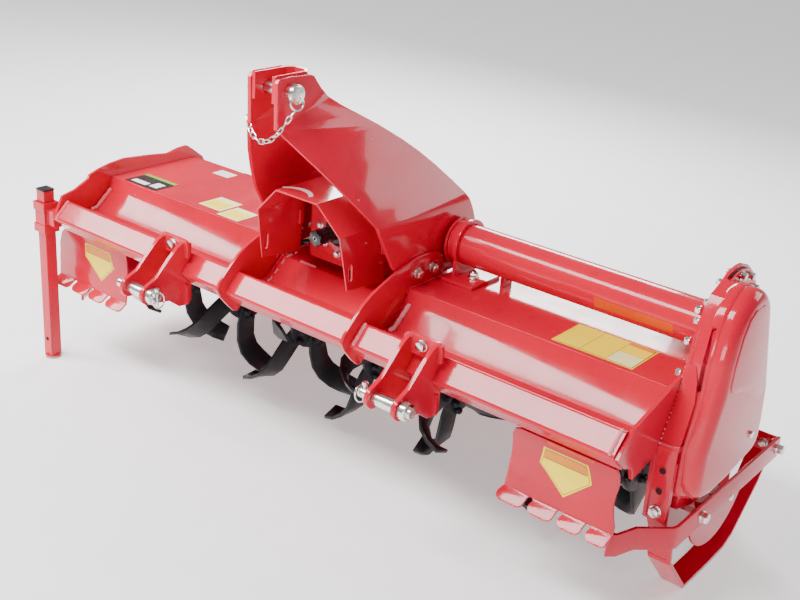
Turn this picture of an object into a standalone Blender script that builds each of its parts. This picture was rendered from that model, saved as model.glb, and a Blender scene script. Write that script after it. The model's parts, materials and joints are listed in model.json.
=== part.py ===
"""Rotavator: a shaft-driven rotary tiller for a three-point hitch.

X runs across the machine, with the side drive at +X. -Y is the hitch side and +Z is up.
Sizes in the helper calls are in metres, in a frame whose zero is the front edge of the
headstock beam; PLACE moves that frame so that the ground is at z = 0.
"""
import math

import bmesh
import bpy
from mathutils import Matrix, Vector

# ------------------------------------------------------------------ driving sizes (metres)
HALF_WIDTH = 0.800          # half the length of the beam between the end plates
GROUND = 0.415              # height of the beam's front edge above the ground
PLACE = Vector((-0.0050, -0.2872, GROUND))
FIT = 0.0003                # gap left between two pieces that touch
PLATE = 0.008               # end plates
SHEET = 0.005               # folded deck sheet
RENDER_SEGMENTS = 32

BEAM_SIDE = 0.060           # square beam, set on its corner
BEAM_WALL = 0.006
BEAM_Y = 0.036
BEAM_Z = -0.008

DECK_LEVEL = 0.067          # top panel
DECK_REAR = 0.461
CENTRE_X = 0.1785           # inner face of the centre plates
CENTRE_PLATE = 0.008

TUBE_Y = 0.345              # cross tube between gearbox and side drive
TUBE_Z = 0.136
TUBE_R = 0.046
CASE_DEPTH = 0.040          # wall of the side drive, out to the cover's rim
CASE_FRONT = 0.200
BAND_Y = 0.157              # front face of the drilled band that holds a skid
BAND_T = 0.006
LUG_R = 0.132               # round lower end of the side plate
LUG_X = 0.8615
LUG_T = 0.0055

ROTOR_Y = 0.352
ROTOR_Z = -0.188
ROTOR_TUBE_R = 0.038
JOURNAL_R = 0.0245
FLANGE_R = 0.085
TINE_T = 0.008

PTO_Z = 0.149
PTO_R = 0.0175

MAST_TOP_X = 0.031          # inner face of the two mast plates at the top-link pin
MAST_LOW_X = 0.168          # inner face below the flare
MAST_T = 0.010
TOP_PIN_Y = -0.048
TOP_PIN_Z = 0.490
TOP_PIN_R = 0.0125

HITCH_X = 0.362
HITCH_Y = -0.096
HITCH_Z = -0.035
HITCH_PIN_R = 0.011
EAR_T = 0.010
EAR_GAP = 0.056

LEG_X = -0.858
LEG_Y = 0.015
LEG_SIDE = 0.031
SLEEVE_WALL = 0.0035
SLIDE_GAP = 0.0006

GATE_Y = 0.476              # hinge of the rear gate
GATE_Z = 0.050
GATE_ROD_R = 0.006
GATE_HALF = 0.788

SKID_X0 = 0.8085
SKID_X1 = 0.857
SKID_T = 0.008
LEFT_SKID_LIFT = 0.082      # the left skid is bolted two holes higher

# ------------------------------------------------------------------ scene set-up
for item in list(bpy.data.objects):
    bpy.data.objects.remove(item, do_unlink=True)
for group in list(bpy.data.collections):
    bpy.data.collections.remove(group)
PARTS = bpy.data.collections.new("rotavator")
TOOLS = bpy.data.collections.new("cutters")
bpy.context.scene.collection.children.link(PARTS)
bpy.context.scene.collection.children.link(TOOLS)


def material(name, colour, metallic, roughness):
    mat = bpy.data.materials.new(name)
    mat.use_nodes = True
    shader = mat.node_tree.nodes["Principled BSDF"]
    shader.inputs["Base Color"].default_value = (*colour, 1.0)
    shader.inputs["Metallic"].default_value = metallic
    shader.inputs["Roughness"].default_value = roughness
    return mat


RED = material("red_paint", (0.62, 0.012, 0.016), 0.0, 0.28)
BLACK = material("black_paint", (0.012, 0.013, 0.016), 0.0, 0.42)
STEEL = material("bright_steel", (0.62, 0.62, 0.60), 1.0, 0.30)
CAST = material("dark_cast", (0.06, 0.06, 0.065), 0.3, 0.55)


# ------------------------------------------------------------------ helpers
def keep(obj, mat, as_tool=False):
    """Put an object in its collection with its material."""
    for group in list(obj.users_collection):
        group.objects.unlink(obj)
    (TOOLS if as_tool else PARTS).objects.link(obj)
    obj.data.materials.clear()
    obj.data.materials.append(mat)
    if as_tool:
        obj.hide_render = True
        obj.display_type = 'WIRE'
    return obj


def from_bmesh(name, shape, mat, as_tool=False):
    bmesh.ops.recalc_face_normals(shape, faces=shape.faces)
    mesh = bpy.data.meshes.new(name)
    shape.to_mesh(mesh)
    shape.free()
    obj = bpy.data.objects.new(name, mesh)
    return keep(obj, mat, as_tool)


def block(name, low, high, mat, as_tool=False):
    """A box between two corners."""
    low = Vector(low)
    high = Vector(high)
    shape = bmesh.new()
    bmesh.ops.create_cube(shape, size=1.0)
    size = high - low
    bmesh.ops.scale(shape, vec=size, verts=shape.verts)
    obj = from_bmesh(name, shape, mat, as_tool)
    obj.location = (low + high) / 2 + PLACE
    return obj


def turn_to(direction):
    return Vector(direction).to_track_quat('Z', 'Y')


def rod(name, start, end, radius, mat, segments=24, end_radius=None, as_tool=False):
    """A round bar (or a cone) from one point to another."""
    start = Vector(start)
    end = Vector(end)
    shape = bmesh.new()
    bmesh.ops.create_cone(shape, cap_ends=True, segments=segments, radius1=radius,
                          radius2=radius if end_radius is None else end_radius,
                          depth=(end - start).length)
    obj = from_bmesh(name, shape, mat, as_tool)
    obj.rotation_mode = 'QUATERNION'
    obj.rotation_quaternion = turn_to(end - start)
    obj.location = (start + end) / 2 + PLACE
    return obj


def curve_mesh(curve, name, mat, matrix, as_tool=False):
    """Turn a curve into a closed mesh object with a world matrix."""
    holder = bpy.data.objects.new(name + "_curve", curve)
    bpy.context.scene.collection.objects.link(holder)
    bpy.context.view_layer.update()
    graph = bpy.context.evaluated_depsgraph_get()
    mesh = bpy.data.meshes.new_from_object(holder.evaluated_get(graph))
    bpy.data.objects.remove(holder, do_unlink=True)
    shape = bmesh.new()
    shape.from_mesh(mesh)
    bmesh.ops.remove_doubles(shape, verts=shape.verts, dist=0.00002)
    bmesh.ops.recalc_face_normals(shape, faces=shape.faces)
    shape.to_mesh(mesh)
    shape.free()
    mesh.name = name
    obj = bpy.data.objects.new(name, mesh)
    obj.matrix_world = matrix
    return keep(obj, mat, as_tool)


def outline_curve(name, outline, thickness):
    curve = bpy.data.curves.new(name, 'CURVE')
    curve.dimensions = '2D'
    curve.fill_mode = 'BOTH'
    curve.extrude = thickness / 2
    spline = curve.splines.new('POLY')
    spline.points.add(len(outline) - 1)
    for point, (u, v) in zip(spline.points, outline):
        point.co = (u, v, 0.0, 1.0)
    spline.use_cyclic_u = True
    return curve


def plate_x(name, outline, x0, x1, mat, as_tool=False):
    """A plate square to X, from x0 to x1; the outline is in (y, z)."""
    turn = Matrix(((0, 0, 1), (1, 0, 0), (0, 1, 0))).to_4x4()
    place = Matrix.Translation(Vector(((x0 + x1) / 2, 0, 0)) + PLACE) @ turn
    return curve_mesh(outline_curve(name, outline, abs(x1 - x0)), name, mat, place, as_tool)


def plate_y(name, outline, y0, y1, mat, as_tool=False):
    """A plate square to Y, from y0 to y1; the outline is in (x, z)."""
    turn = Matrix(((1, 0, 0), (0, 0, -1), (0, 1, 0))).to_4x4()
    place = Matrix.Translation(Vector((0, (y0 + y1) / 2, 0)) + PLACE) @ turn
    return curve_mesh(outline_curve(name, outline, abs(y1 - y0)), name, mat, place, as_tool)


def plate_z(name, outline, z0, z1, mat, as_tool=False):
    """A plate square to Z, from z0 to z1; the outline is in (x, y)."""
    place = Matrix.Translation(Vector((0, 0, (z0 + z1) / 2)) + PLACE)
    return curve_mesh(outline_curve(name, outline, abs(z1 - z0)), name, mat, place, as_tool)


def arc(cy, cz, radius, start_deg, end_deg, steps):
    points = []
    for i in range(steps + 1):
        a = math.radians(start_deg + (end_deg - start_deg) * i / steps)
        points.append((cy + radius * math.cos(a), cz + radius * math.sin(a)))
    return points


def strip(path, thickness, side=1.0):
    """The closed outline of a bent flat bar whose one face follows the path."""
    inner = []
    count = len(path)
    for i, (a, b) in enumerate(path):
        ins = []
        for j in (i - 1, i):
            if 0 <= j < count - 1:
                dy = path[j + 1][0] - path[j][0]
                dz = path[j + 1][1] - path[j][1]
                size = math.hypot(dy, dz)
                ins.append((-dz / size * side, dy / size * side))
        ny = sum(n[0] for n in ins) / len(ins)
        nz = sum(n[1] for n in ins) / len(ins)
        size = ny * ny + nz * nz
        inner.append((a + ny / size * thickness, b + nz / size * thickness))
    return list(path) + inner[::-1]


def sheet(name, rows, thickness, mat, offset=-1.0, as_tool=False):
    """A bent sheet: rows of points in (x, y, z), made solid with Solidify."""
    shape = bmesh.new()
    wide = len(rows[0])
    bmesh.ops.create_grid(shape, x_segments=wide - 1, y_segments=len(rows) - 1, size=0.5)
    shape.verts.ensure_lookup_table()
    ordered = sorted(shape.verts, key=lambda v: (round(v.co.y, 4), round(v.co.x, 4)))
    flat = [point for row in rows for point in row]
    spots = {vert: Vector(point) for vert, point in zip(ordered, flat)}
    for vert, spot in spots.items():
        vert.co = spot
    mesh = bpy.data.meshes.new(name)
    shape.to_mesh(mesh)
    shape.free()
    obj = bpy.data.objects.new(name, mesh)
    keep(obj, mat, as_tool)
    obj.location = PLACE
    solid = obj.modifiers.new("Thickness", 'SOLIDIFY')
    solid.thickness = thickness
    solid.offset = offset
    solid.use_even_offset = True
    return obj


def boolean(obj, other, operation):
    mod = obj.modifiers.new(operation.title(), 'BOOLEAN')
    mod.operation = operation
    mod.solver = 'EXACT'
    mod.object = other
    for group in list(other.users_collection):
        group.objects.unlink(other)
    TOOLS.objects.link(other)
    other.hide_render = True
    other.display_type = 'WIRE'
    return obj


def join(obj, *others):
    for other in others:
        boolean(obj, other, 'UNION')
    return obj


def cut(obj, *others):
    for other in others:
        boolean(obj, other, 'DIFFERENCE')
    return obj


def bevel(obj, width, segments=2, angle=35):
    mod = obj.modifiers.new("Edges", 'BEVEL')
    mod.width = width
    mod.segments = segments
    mod.limit_method = 'ANGLE'
    mod.angle_limit = math.radians(angle)
    return obj


def hinge_origin(obj, x, y, z):
    """Move an object's origin to a point on its joint's axis, with the shape left in place."""
    spot = Vector((x, y, z)) + PLACE
    bpy.context.view_layer.update()
    world = obj.matrix_world.copy()
    obj.data.transform(Matrix.Translation(-spot) @ world)
    obj.rotation_mode = 'XYZ'
    obj.matrix_world = Matrix.Translation(spot)
    return obj


def beam_outline(side, corner):
    """The square beam's outline in (y, z), standing on its corner with rounded corners."""
    half = side / math.sqrt(2)
    points = []
    for k in range(4):
        mid = math.pi / 2 * k
        reach = half - corner * math.sqrt(2)
        cy = BEAM_Y + reach * math.cos(mid)
        cz = BEAM_Z + reach * math.sin(mid)
        for step in (-45, -15, 15, 45):
            a = mid + math.radians(step)
            points.append((cy + corner * math.cos(a), cz + corner * math.sin(a)))
    return points


# ------------------------------------------------------------------ headstock beam
beam = plate_x("front_beam", beam_outline(BEAM_SIDE, 0.008), -HALF_WIDTH + FIT, HALF_WIDTH - FIT, RED)
cut(beam, plate_x("beam_bore", beam_outline(BEAM_SIDE - 2 * BEAM_WALL, 0.004), -0.9, 0.9, RED, True))

# ------------------------------------------------------------------ end plates
left_outline = (
    [(0.030, -0.030), (-0.002, -0.010), (0.025, 0.045), (0.064, 0.054), (0.102, 0.072), (0.110, 0.084)]
    + [(0.140, 0.094), (0.176, 0.102), (0.222, 0.107), (0.300, 0.101), (0.366, 0.094)]
    + [(0.403, 0.102), (0.435, 0.104), (0.453, 0.092), (0.490, 0.064), (0.520, 0.010)]
    + [(0.610, -0.060), (0.690, -0.140), (0.694, -0.222), (0.560, -0.262)]
    + arc(ROTOR_Y, ROTOR_Z, 0.120, -30, -150, 8)
    + [(0.158, -0.200), (0.152, -0.062), (0.080, -0.080), (0.076, -0.060), (0.064, -0.030)]
)
end_left = plate_x("end_plate_left", left_outline, -HALF_WIDTH - PLATE, -HALF_WIDTH, RED)
cut(end_left, rod("journal_hole_left", (-0.85, ROTOR_Y, ROTOR_Z), (-0.75, ROTOR_Y, ROTOR_Z),
                  JOURNAL_R + SLIDE_GAP, RED, as_tool=True))

right_outline = (
    [(0.030, -0.040), (-0.002, -0.010), (0.046, 0.034), (0.130, 0.056), (0.213, 0.080), (0.262, 0.110)]
    + arc(0.385, 0.152, 0.104, 170, -10, 12)
    + [(0.505, 0.040), (0.560, -0.030), (0.640, -0.100), (0.690, -0.140), (0.694, -0.222), (0.560, -0.262)]
    + arc(ROTOR_Y, ROTOR_Z, 0.120, -30, -150, 8)
    + [(0.158, -0.200), (0.154, -0.062), (0.070, -0.080), (0.060, -0.052)]
)
end_right = plate_x("end_plate_right", right_outline, HALF_WIDTH, HALF_WIDTH + PLATE, RED)
cut(end_right, rod("journal_hole_right", (0.75, ROTOR_Y, ROTOR_Z), (0.85, ROTOR_Y, ROTOR_Z),
                   JOURNAL_R + SLIDE_GAP, RED, as_tool=True))

# ------------------------------------------------------------------ deck
SIDE_PROFILE = [(0.076, -0.007), (0.122, -0.007), (0.169, 0.034), (0.180, DECK_LEVEL),
                (DECK_REAR, DECK_LEVEL)]
CENTRE_PROFILE = [(0.076, -0.009), (0.122, -0.009), (0.175, 0.034), (DECK_REAR, 0.056)]
DECK_IN = CENTRE_X + CENTRE_PLATE + FIT
for side, name in ((1, "deck_right"), (-1, "deck_left")):
    x0, x1 = sorted((side * DECK_IN, side * (HALF_WIDTH - FIT)))
    plate_x(name, strip(SIDE_PROFILE, SHEET, -1.0), x0, x1, RED)
deck_centre = plate_x("deck_centre", strip(CENTRE_PROFILE, SHEET, -1.0), -CENTRE_X + FIT, CENTRE_X - FIT, RED)

# ------------------------------------------------------------------ centre plates
centre_outline = (
    [(0.030, -0.105), (0.008, -0.080), (-0.015, -0.004), (0.000, 0.018), (0.036, 0.039), (0.080, 0.046)]
    + [(0.132, 0.054), (0.175, 0.068), (0.232, 0.094), (0.285, 0.121), (0.300, 0.124), (0.312, 0.118)]
    + [(0.324, 0.090), (0.357, 0.080), (0.357, 0.049), (0.200, 0.018), (0.120, -0.034), (0.076, -0.060)]
    + [(0.048, -0.096)]
)
for side, name in ((1, "centre_plate_right"), (-1, "centre_plate_left")):
    x0, x1 = sorted((side * CENTRE_X, side * (CENTRE_X + CENTRE_PLATE)))
    plate = plate_x(name, centre_outline, x0, x1, RED)
    cut(plate,
        plate_x(name + "_beam_hole", beam_outline(BEAM_SIDE + 2 * FIT, 0.008), x0 - 0.01, x1 + 0.01, RED, True))

# ------------------------------------------------------------------ gearbox and drive
gearbox = block("gearbox", (-0.100, 0.172, 0.0575), (0.100, 0.440, 0.236), CAST)
bevel(gearbox, 0.010, 2)
join(gearbox, rod("gearbox_nose", (0, 0.158, PTO_Z), (0, 0.200, PTO_Z), 0.052, CAST),
     block("gearbox_cheek", (-MAST_LOW_X + FIT, 0.305, 0.085), (MAST_LOW_X - FIT, 0.395, 0.185), CAST))

pto = rod("pto_shaft", (0, 0.082, PTO_Z), (0, 0.158 - FIT, PTO_Z), PTO_R, STEEL, 24)
join(pto, rod("pto_collar", (0, 0.140, PTO_Z), (0, 0.1576, PTO_Z), 0.026, STEEL, 24))
hinge_origin(pto, 0, 0.120, PTO_Z)

TUBE_START = CENTRE_X + CENTRE_PLATE + FIT
tube = rod("cross_tube", (TUBE_START, TUBE_Y, TUBE_Z), (HALF_WIDTH - FIT, TUBE_Y, TUBE_Z),
           TUBE_R, RED, RENDER_SEGMENTS)
join(tube,
     rod("tube_flange_in", (TUBE_START, TUBE_Y, TUBE_Z), (TUBE_START + 0.006, TUBE_Y, TUBE_Z),
         0.053, RED, RENDER_SEGMENTS),
     rod("tube_spigot", (MAST_LOW_X + MAST_T + FIT, TUBE_Y + 0.008, TUBE_Z + 0.012),
         (TUBE_START + 0.006, TUBE_Y + 0.008, TUBE_Z + 0.012), 0.026, RED, RENDER_SEGMENTS),
     rod("tube_flange_out", (HALF_WIDTH - 0.012, TUBE_Y, TUBE_Z), (HALF_WIDTH - FIT, TUBE_Y, TUBE_Z),
         0.064, RED, RENDER_SEGMENTS))

saddle = plate_z("tube_saddle", [(0.203, 0.269), (0.286, 0.269), (0.286, 0.375), (0.203, 0.375)],
                 DECK_LEVEL + FIT, DECK_LEVEL + 0.008, RED)
join(saddle,
     rod("saddle_ring", (0.212, TUBE_Y, TUBE_Z), (0.222, TUBE_Y, TUBE_Z), TUBE_R + 0.010, RED, RENDER_SEGMENTS),
     block("saddle_web", (0.213, TUBE_Y - 0.050, DECK_LEVEL + 0.004), (0.221, TUBE_Y + 0.028, TUBE_Z - 0.030), RED))
cut(saddle, rod("saddle_bore", (0.15, TUBE_Y, TUBE_Z), (0.35, TUBE_Y, TUBE_Z), TUBE_R + FIT, RED,
                RENDER_SEGMENTS, as_tool=True))

# side drive housing: a wall out to the cover's rim, and the drilled band in front of it
band_path = [(0.206, 0.062), (BAND_Y, -0.045), (BAND_Y, -0.200)]
case_outline = (
    [(0.214, 0.062), (0.218, 0.118), (0.234, 0.184), (0.269, 0.231), (0.315, 0.248), (0.359, 0.237)]
    + [(0.388, 0.209), (0.460, 0.011), (0.480, -0.176), (0.466, -0.200)]
    + [(0.270, -0.206), (CASE_FRONT, -0.185), (CASE_FRONT, 0.000)]
)
flange_outline = (
    [(0.212, 0.062), (0.216, 0.118), (0.230, 0.172), (0.262, 0.205)]
    + arc(0.384, 0.152, 0.098, 150, -4, 10) + [(0.474, 0.011), (0.490, -0.176), (0.470, -0.202)]
    + [(0.270, -0.206), (CASE_FRONT, -0.185), (CASE_FRONT, 0.000)]
)
CASE_X = HALF_WIDTH + PLATE + FIT
RIM_X = HALF_WIDTH + PLATE + CASE_DEPTH
BAND_MID = BAND_Y + BAND_T / 2
band_edge = [(0.815, 0.226, 0.120), (0.829, 0.219, 0.106), (0.838, 0.213, 0.078), (0.845, 0.203, 0.040),
             (RIM_X, BAND_MID, -0.045), (RIM_X, BAND_MID, -0.120), (RIM_X, BAND_MID, -0.200)]
case = plate_x("side_case", case_outline, CASE_X, RIM_X, RED)
join(case,
     rod("bearing_right", (CASE_X, ROTOR_Y, ROTOR_Z), (RIM_X, ROTOR_Y, ROTOR_Z), 0.066, RED, RENDER_SEGMENTS),
     block("bearing_foot", (CASE_X, ROTOR_Y - 0.045, -0.248), (LUG_X - FIT, ROTOR_Y + 0.045, -0.2175), RED),
     plate_x("case_flange", flange_outline, CASE_X + 0.004, CASE_X + 0.008, RED),
     sheet("band_right", [[(CASE_X, y, z), (x, y, z)] for x, y, z in band_edge], BAND_T, RED, 0.0),
     block("band_root_right", (CASE_X, BAND_Y + 0.004, -0.046), (RIM_X, CASE_FRONT + 0.010, -0.034), RED))

cover_outline = (
    [(0.214, 0.062), (0.218, 0.118), (0.234, 0.184), (0.269, 0.231), (0.315, 0.248), (0.359, 0.237)]
    + [(0.388, 0.209), (0.460, 0.011), (0.480, -0.176), (0.466, -0.192)]
    + [(0.270, -0.196), (0.176, -0.142), (0.176, -0.044)]
)
dome_path = [Vector(spot) for spot in cover_outline]
dome_middle = sum(dome_path, Vector((0.0, 0.0))) / len(dome_path)
cover_rows = [(RIM_X + FIT, 0.000), (0.868, 0.000), (0.879, 0.004), (0.886, 0.011), (0.890, 0.022)]
cover = plate_x("side_cover", cover_outline, RIM_X + FIT, 0.868, RED)
for start, end in zip(cover_rows[1:-1], cover_rows[2:]):
    share = 1.0 - (start[1] + end[1]) / 2 / 0.16
    step = [tuple(dome_middle + (spot - dome_middle) * share) for spot in dome_path]
    join(cover, plate_x("side_step_%d" % int(end[0] * 1000), step, start[0] - 0.001, end[0], RED))

lug = plate_x("side_lug", [(0.232, -0.2165)] + arc(0.363, -0.193, LUG_R, 196, 344, 16) + [(0.489, -0.2165)],
              LUG_X, LUG_X + LUG_T, RED)

bearing = rod("bearing_left", (-CASE_X, ROTOR_Y, ROTOR_Z), (-CASE_X - 0.034, ROTOR_Y, ROTOR_Z), 0.058, RED,
              RENDER_SEGMENTS)
bevel(bearing, 0.004, 2)
band_left = plate_x("band_left", strip(band_path[1:], BAND_T, 1.0), -CASE_X, -RIM_X, RED)

# ------------------------------------------------------------------ mast
MID = MAST_T / 2
for side, name in ((1, "mast_plate_right"), (-1, "mast_plate_left")):
    top = side * (MAST_TOP_X + MID)
    low = side * (MAST_LOW_X + MID)
    rows = [
        [(top, -0.085, 0.519), (top, -0.050, 0.521), (top, -0.015, 0.520), (top, 0.010, 0.516)],
        [(top, -0.083, 0.421), (top, -0.035, 0.438), (top, 0.012, 0.455), (top, 0.052, 0.469)],
        [(low, 0.073, 0.224), (low, 0.185, 0.221), (low, 0.299, 0.217), (low, 0.388, 0.222)],
        [(low, 0.098, 0.180), (low, 0.195, 0.168), (low, 0.310, 0.160), (low, 0.414, 0.162)],
        [(low, 0.134, 0.119), (low, 0.200, 0.078), (low, 0.300, 0.066), (low, 0.440, 0.068)],
    ]
    mast = sheet(name, rows, MAST_T, RED, 0.0)
    cut(mast, rod(name + "_pin_hole", (-0.1, TOP_PIN_Y, TOP_PIN_Z), (0.1, TOP_PIN_Y, TOP_PIN_Z),
                  TOP_PIN_R + FIT, RED, as_tool=True))

# a strap bent in a U, nested between the plates, with a web across its back
EAR_IN = MAST_TOP_X - FIT
ear_path = [(-EAR_IN, -0.082), (-EAR_IN, 0.006), (-EAR_IN + 0.014, 0.024), (EAR_IN - 0.014, 0.024),
            (EAR_IN, 0.006), (EAR_IN, -0.082)]
clevis = plate_z("mast_clevis", strip(ear_path, 0.008, -1.0), 0.470, 0.523, RED)
cut(clevis, rod("clevis_pin_hole", (-0.1, TOP_PIN_Y, TOP_PIN_Z), (0.1, TOP_PIN_Y, TOP_PIN_Z),
                TOP_PIN_R + FIT, RED, as_tool=True))

top_pin = rod("top_link_pin", (-0.060, TOP_PIN_Y, TOP_PIN_Z), (0.056, TOP_PIN_Y, TOP_PIN_Z), TOP_PIN_R, STEEL)
join(top_pin, rod("top_pin_head", (0.0415, TOP_PIN_Y, TOP_PIN_Z), (0.060, TOP_PIN_Y, TOP_PIN_Z), 0.019, STEEL))

# ------------------------------------------------------------------ drive shield
shield_front = [(-0.1235, 0.050, 0.078), (-0.117, 0.027, 0.196), (-0.058, 0.020, 0.255),
                (0.058, 0.020, 0.255), (0.117, 0.027, 0.196), (0.1235, 0.050, 0.078)]
shield_back = [(-0.1235, 0.170, 0.066), (-0.117, 0.170, 0.196), (-0.058, 0.170, 0.255),
               (0.058, 0.170, 0.255), (0.117, 0.170, 0.196), (0.1235, 0.170, 0.066)]
shield = sheet("drive_shield", [shield_front, shield_back], 0.004, RED, 0.0)
join(shield,
     block("shield_tab_right", (0.114, 0.158, 0.132), (MAST_LOW_X - FIT, 0.170, 0.166), RED),
     block("shield_tab_left", (-MAST_LOW_X + FIT, 0.158, 0.132), (-0.114, 0.170, 0.166), RED))
cut(shield, plate_x("shield_slots", arc(0.0600, 0.128, 0.005, 0, 180, 6) + arc(0.0600, 0.101, 0.005, 180, 360, 6),
                    -0.140, 0.140, RED, True))

# ------------------------------------------------------------------ hitch clevises
def notched_ear(name, x0, x1):
    outline = (
        arc(HITCH_Y, HITCH_Z, 0.024, 285, 100, 8)
        + [(-0.075, 0.000), (-0.038, 0.036), (-0.014, 0.057), (0.000, 0.064), (0.010, 0.064)]
        + [(0.026, 0.060), (0.026, -0.080), (0.016, -0.090), (-0.010, -0.088), (-0.040, -0.066)]
    )
    return plate_x(name, outline, x0, x1, RED)


def back_plate(name, centre, low, high, mat):
    """The clamp's upper plate, with rounded top corners."""
    wide, corner = 0.0475, 0.014
    top = (
        [(centre + wide, low)] + arc(centre + wide - corner, high - corner, corner, 0, 90, 4)
        + arc(centre - wide + corner, high - corner, corner, 90, 180, 4) + [(centre - wide, low)]
    )
    return plate_y(name, top, 0.006, 0.014, mat)


for side, name in ((1, "hitch_right"), (-1, "hitch_left")):
    centre = side * HITCH_X
    clamp = notched_ear(name, centre - EAR_GAP / 2 - EAR_T, centre - EAR_GAP / 2)
    join(clamp,
         notched_ear(name + "_ear", centre + EAR_GAP / 2, centre + EAR_GAP / 2 + EAR_T),
         back_plate(name + "_top", centre, 0.028, 0.070, RED),
         block(name + "_low", (centre - 0.044, 0.006, -0.086), (centre + 0.044, 0.014, -0.040), RED))
    cut(clamp,
        plate_x(name + "_notch", beam_outline(BEAM_SIDE + 2 * FIT, 0.008), centre - 0.06, centre + 0.06, RED, True),
        rod(name + "_pin_hole", (centre - 0.06, HITCH_Y, HITCH_Z), (centre + 0.06, HITCH_Y, HITCH_Z),
            HITCH_PIN_R + FIT, RED, as_tool=True))
    pin = rod(name + "_pin", (centre - 0.064, HITCH_Y, HITCH_Z), (centre + 0.064, HITCH_Y, HITCH_Z),
              HITCH_PIN_R, STEEL)
    head = centre + 0.0385
    join(pin, rod(name + "_pin_head", (head, HITCH_Y, HITCH_Z), (head + 0.016, HITCH_Y, HITCH_Z), 0.018, STEEL))

# ------------------------------------------------------------------ guards with their outer hoops
BEAM_FOOT = BEAM_Z - BEAM_SIDE / math.sqrt(2) + 0.008 * (math.sqrt(2) - 1) - FIT
GUARD_LEVELS = [(BEAM_Y, BEAM_FOOT), (0.046, -0.085), (0.052, -0.125), (0.054, -0.165), (0.053, -0.198),
                (0.028, -0.217)]
CORNER = (0.034, 0.013, 0.004, 0.000, 0.000, 0.000)
OPEN_EDGE = (0.000, 0.012, 0.024, 0.024, 0.002, 0.013)
LEFT_LEVELS = [(0.050, -0.0397), (0.058, -0.085), (0.064, -0.125), (0.066, -0.165), (0.065, -0.198), (0.041, -0.216)]
for side, name, near, far in ((1, "guard_right", 0.552, 0.797), (-1, "guard_left", 0.610, 0.862)):
    rows = []
    for (y, z), inset, cut_in in zip(GUARD_LEVELS if side > 0 else LEFT_LEVELS, CORNER, OPEN_EDGE):
        outer = far - (cut_in if side > 0 else 0.0)
        rows.append([(side * (near + inset), y, z), (side * (near + far) / 2, y, z), (side * outer, y, z)])
    guard = sheet(name, rows, 0.005, RED, 0.0)
    back = 0.0 if side > 0 else 0.012
    hoop_path = [(side * 0.784, 0.0525 + back), (side * 0.797, 0.066 + back), (side * 0.812, 0.114),
                 (side * (LUG_X + LUG_T + FIT), 0.168), (side * (LUG_X + LUG_T + FIT), 0.652)]
    hoop = plate_z(name + "_hoop", strip(hoop_path, 0.007, -side), -0.246, -0.197, RED)
    join(guard, hoop)
    for k in range(1, 5):
        x = side * (near + 0.0585 * k)
        cut(guard, plate_y("%s_scallop_%d" % (name, k), arc(x, -0.222, 0.016 if k < 4 else 0.012, 180, 0, 8),
                           -0.02 + back, 0.046 + back, RED, True))

# ------------------------------------------------------------------ skids
SKID_Y = BAND_Y + BAND_T + FIT
upright_path = [(SKID_Y, -0.070), (SKID_Y, -0.205), (0.192, -0.262), (0.198, -0.300)]
runner_path = [(0.192, -0.262), (0.200, -0.310), (0.294, -GROUND), (0.405, -GROUND), (0.480, -0.410),
               (0.520, -0.394), (0.618, -0.303), (0.668, -0.232)]
for side, name in ((1, "skid_right"), (-1, "skid_left")):
    lift = 0.0 if side > 0 else LEFT_SKID_LIFT
    x0, x1 = sorted((side * SKID_X0, side * SKID_X1))
    skid = plate_x(name, strip([(y, z + lift) for y, z in runner_path], SKID_T, 1.0), x0, x1, RED)
    x0, x1 = sorted((side * (CASE_X + FIT), side * RIM_X))
    bolted = [(SKID_Y, -0.070 + lift / 4)] + [(y, z + lift) for y, z in upright_path[1:]]
    join(skid, plate_x(name + "_upright", strip(bolted, SKID_T, 1.0), x0, x1, RED))

# ------------------------------------------------------------------ parking stand
SLEEVE_IN = LEG_SIDE / 2 + SLIDE_GAP
SLEEVE_OUT = SLEEVE_IN + SLEEVE_WALL
sleeve = block("stand_sleeve", (LEG_X - SLEEVE_OUT, LEG_Y - SLEEVE_OUT, -0.060),
               (LEG_X + SLEEVE_OUT, LEG_Y + SLEEVE_OUT, 0.020), RED)
join(sleeve,
     block("sleeve_collar_low", (LEG_X - 0.0225, LEG_Y - 0.0225, -0.060), (LEG_X + 0.0225, LEG_Y + 0.0225, -0.038), RED),
     block("sleeve_collar_top", (LEG_X - 0.0225, LEG_Y - 0.0225, -0.002), (LEG_X + 0.0225, LEG_Y + 0.0225, 0.020), RED),
     block("sleeve_arm", (LEG_X + 0.018, LEG_Y - 0.012, -0.036), (-HALF_WIDTH - PLATE - FIT, LEG_Y + 0.030, 0.004), RED))
cut(sleeve, block("sleeve_bore", (LEG_X - SLEEVE_IN, LEG_Y - SLEEVE_IN, -0.2), (LEG_X + SLEEVE_IN, LEG_Y + SLEEVE_IN, 0.2),
                  RED, True))
leg = block("stand_leg", (LEG_X - LEG_SIDE / 2, LEG_Y - LEG_SIDE / 2, -GROUND + 0.004),
            (LEG_X + LEG_SIDE / 2, LEG_Y + LEG_SIDE / 2, 0.050), RED)
join(leg, rod("stand_foot", (LEG_X, LEG_Y, -GROUND), (LEG_X, LEG_Y, -GROUND + 0.008), 0.021, RED))
hinge_origin(leg, LEG_X, LEG_Y, 0.0)

# ------------------------------------------------------------------ rotor
rotor = rod("rotor_shaft", (-0.782, ROTOR_Y, ROTOR_Z), (0.782, ROTOR_Y, ROTOR_Z), ROTOR_TUBE_R, BLACK, RENDER_SEGMENTS)
join(rotor, rod("rotor_journal", (-HALF_WIDTH - PLATE, ROTOR_Y, ROTOR_Z), (HALF_WIDTH + PLATE, ROTOR_Y, ROTOR_Z),
                JOURNAL_R, BLACK, 24))
hinge_origin(rotor, 0, ROTOR_Y, ROTOR_Z)


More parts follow.
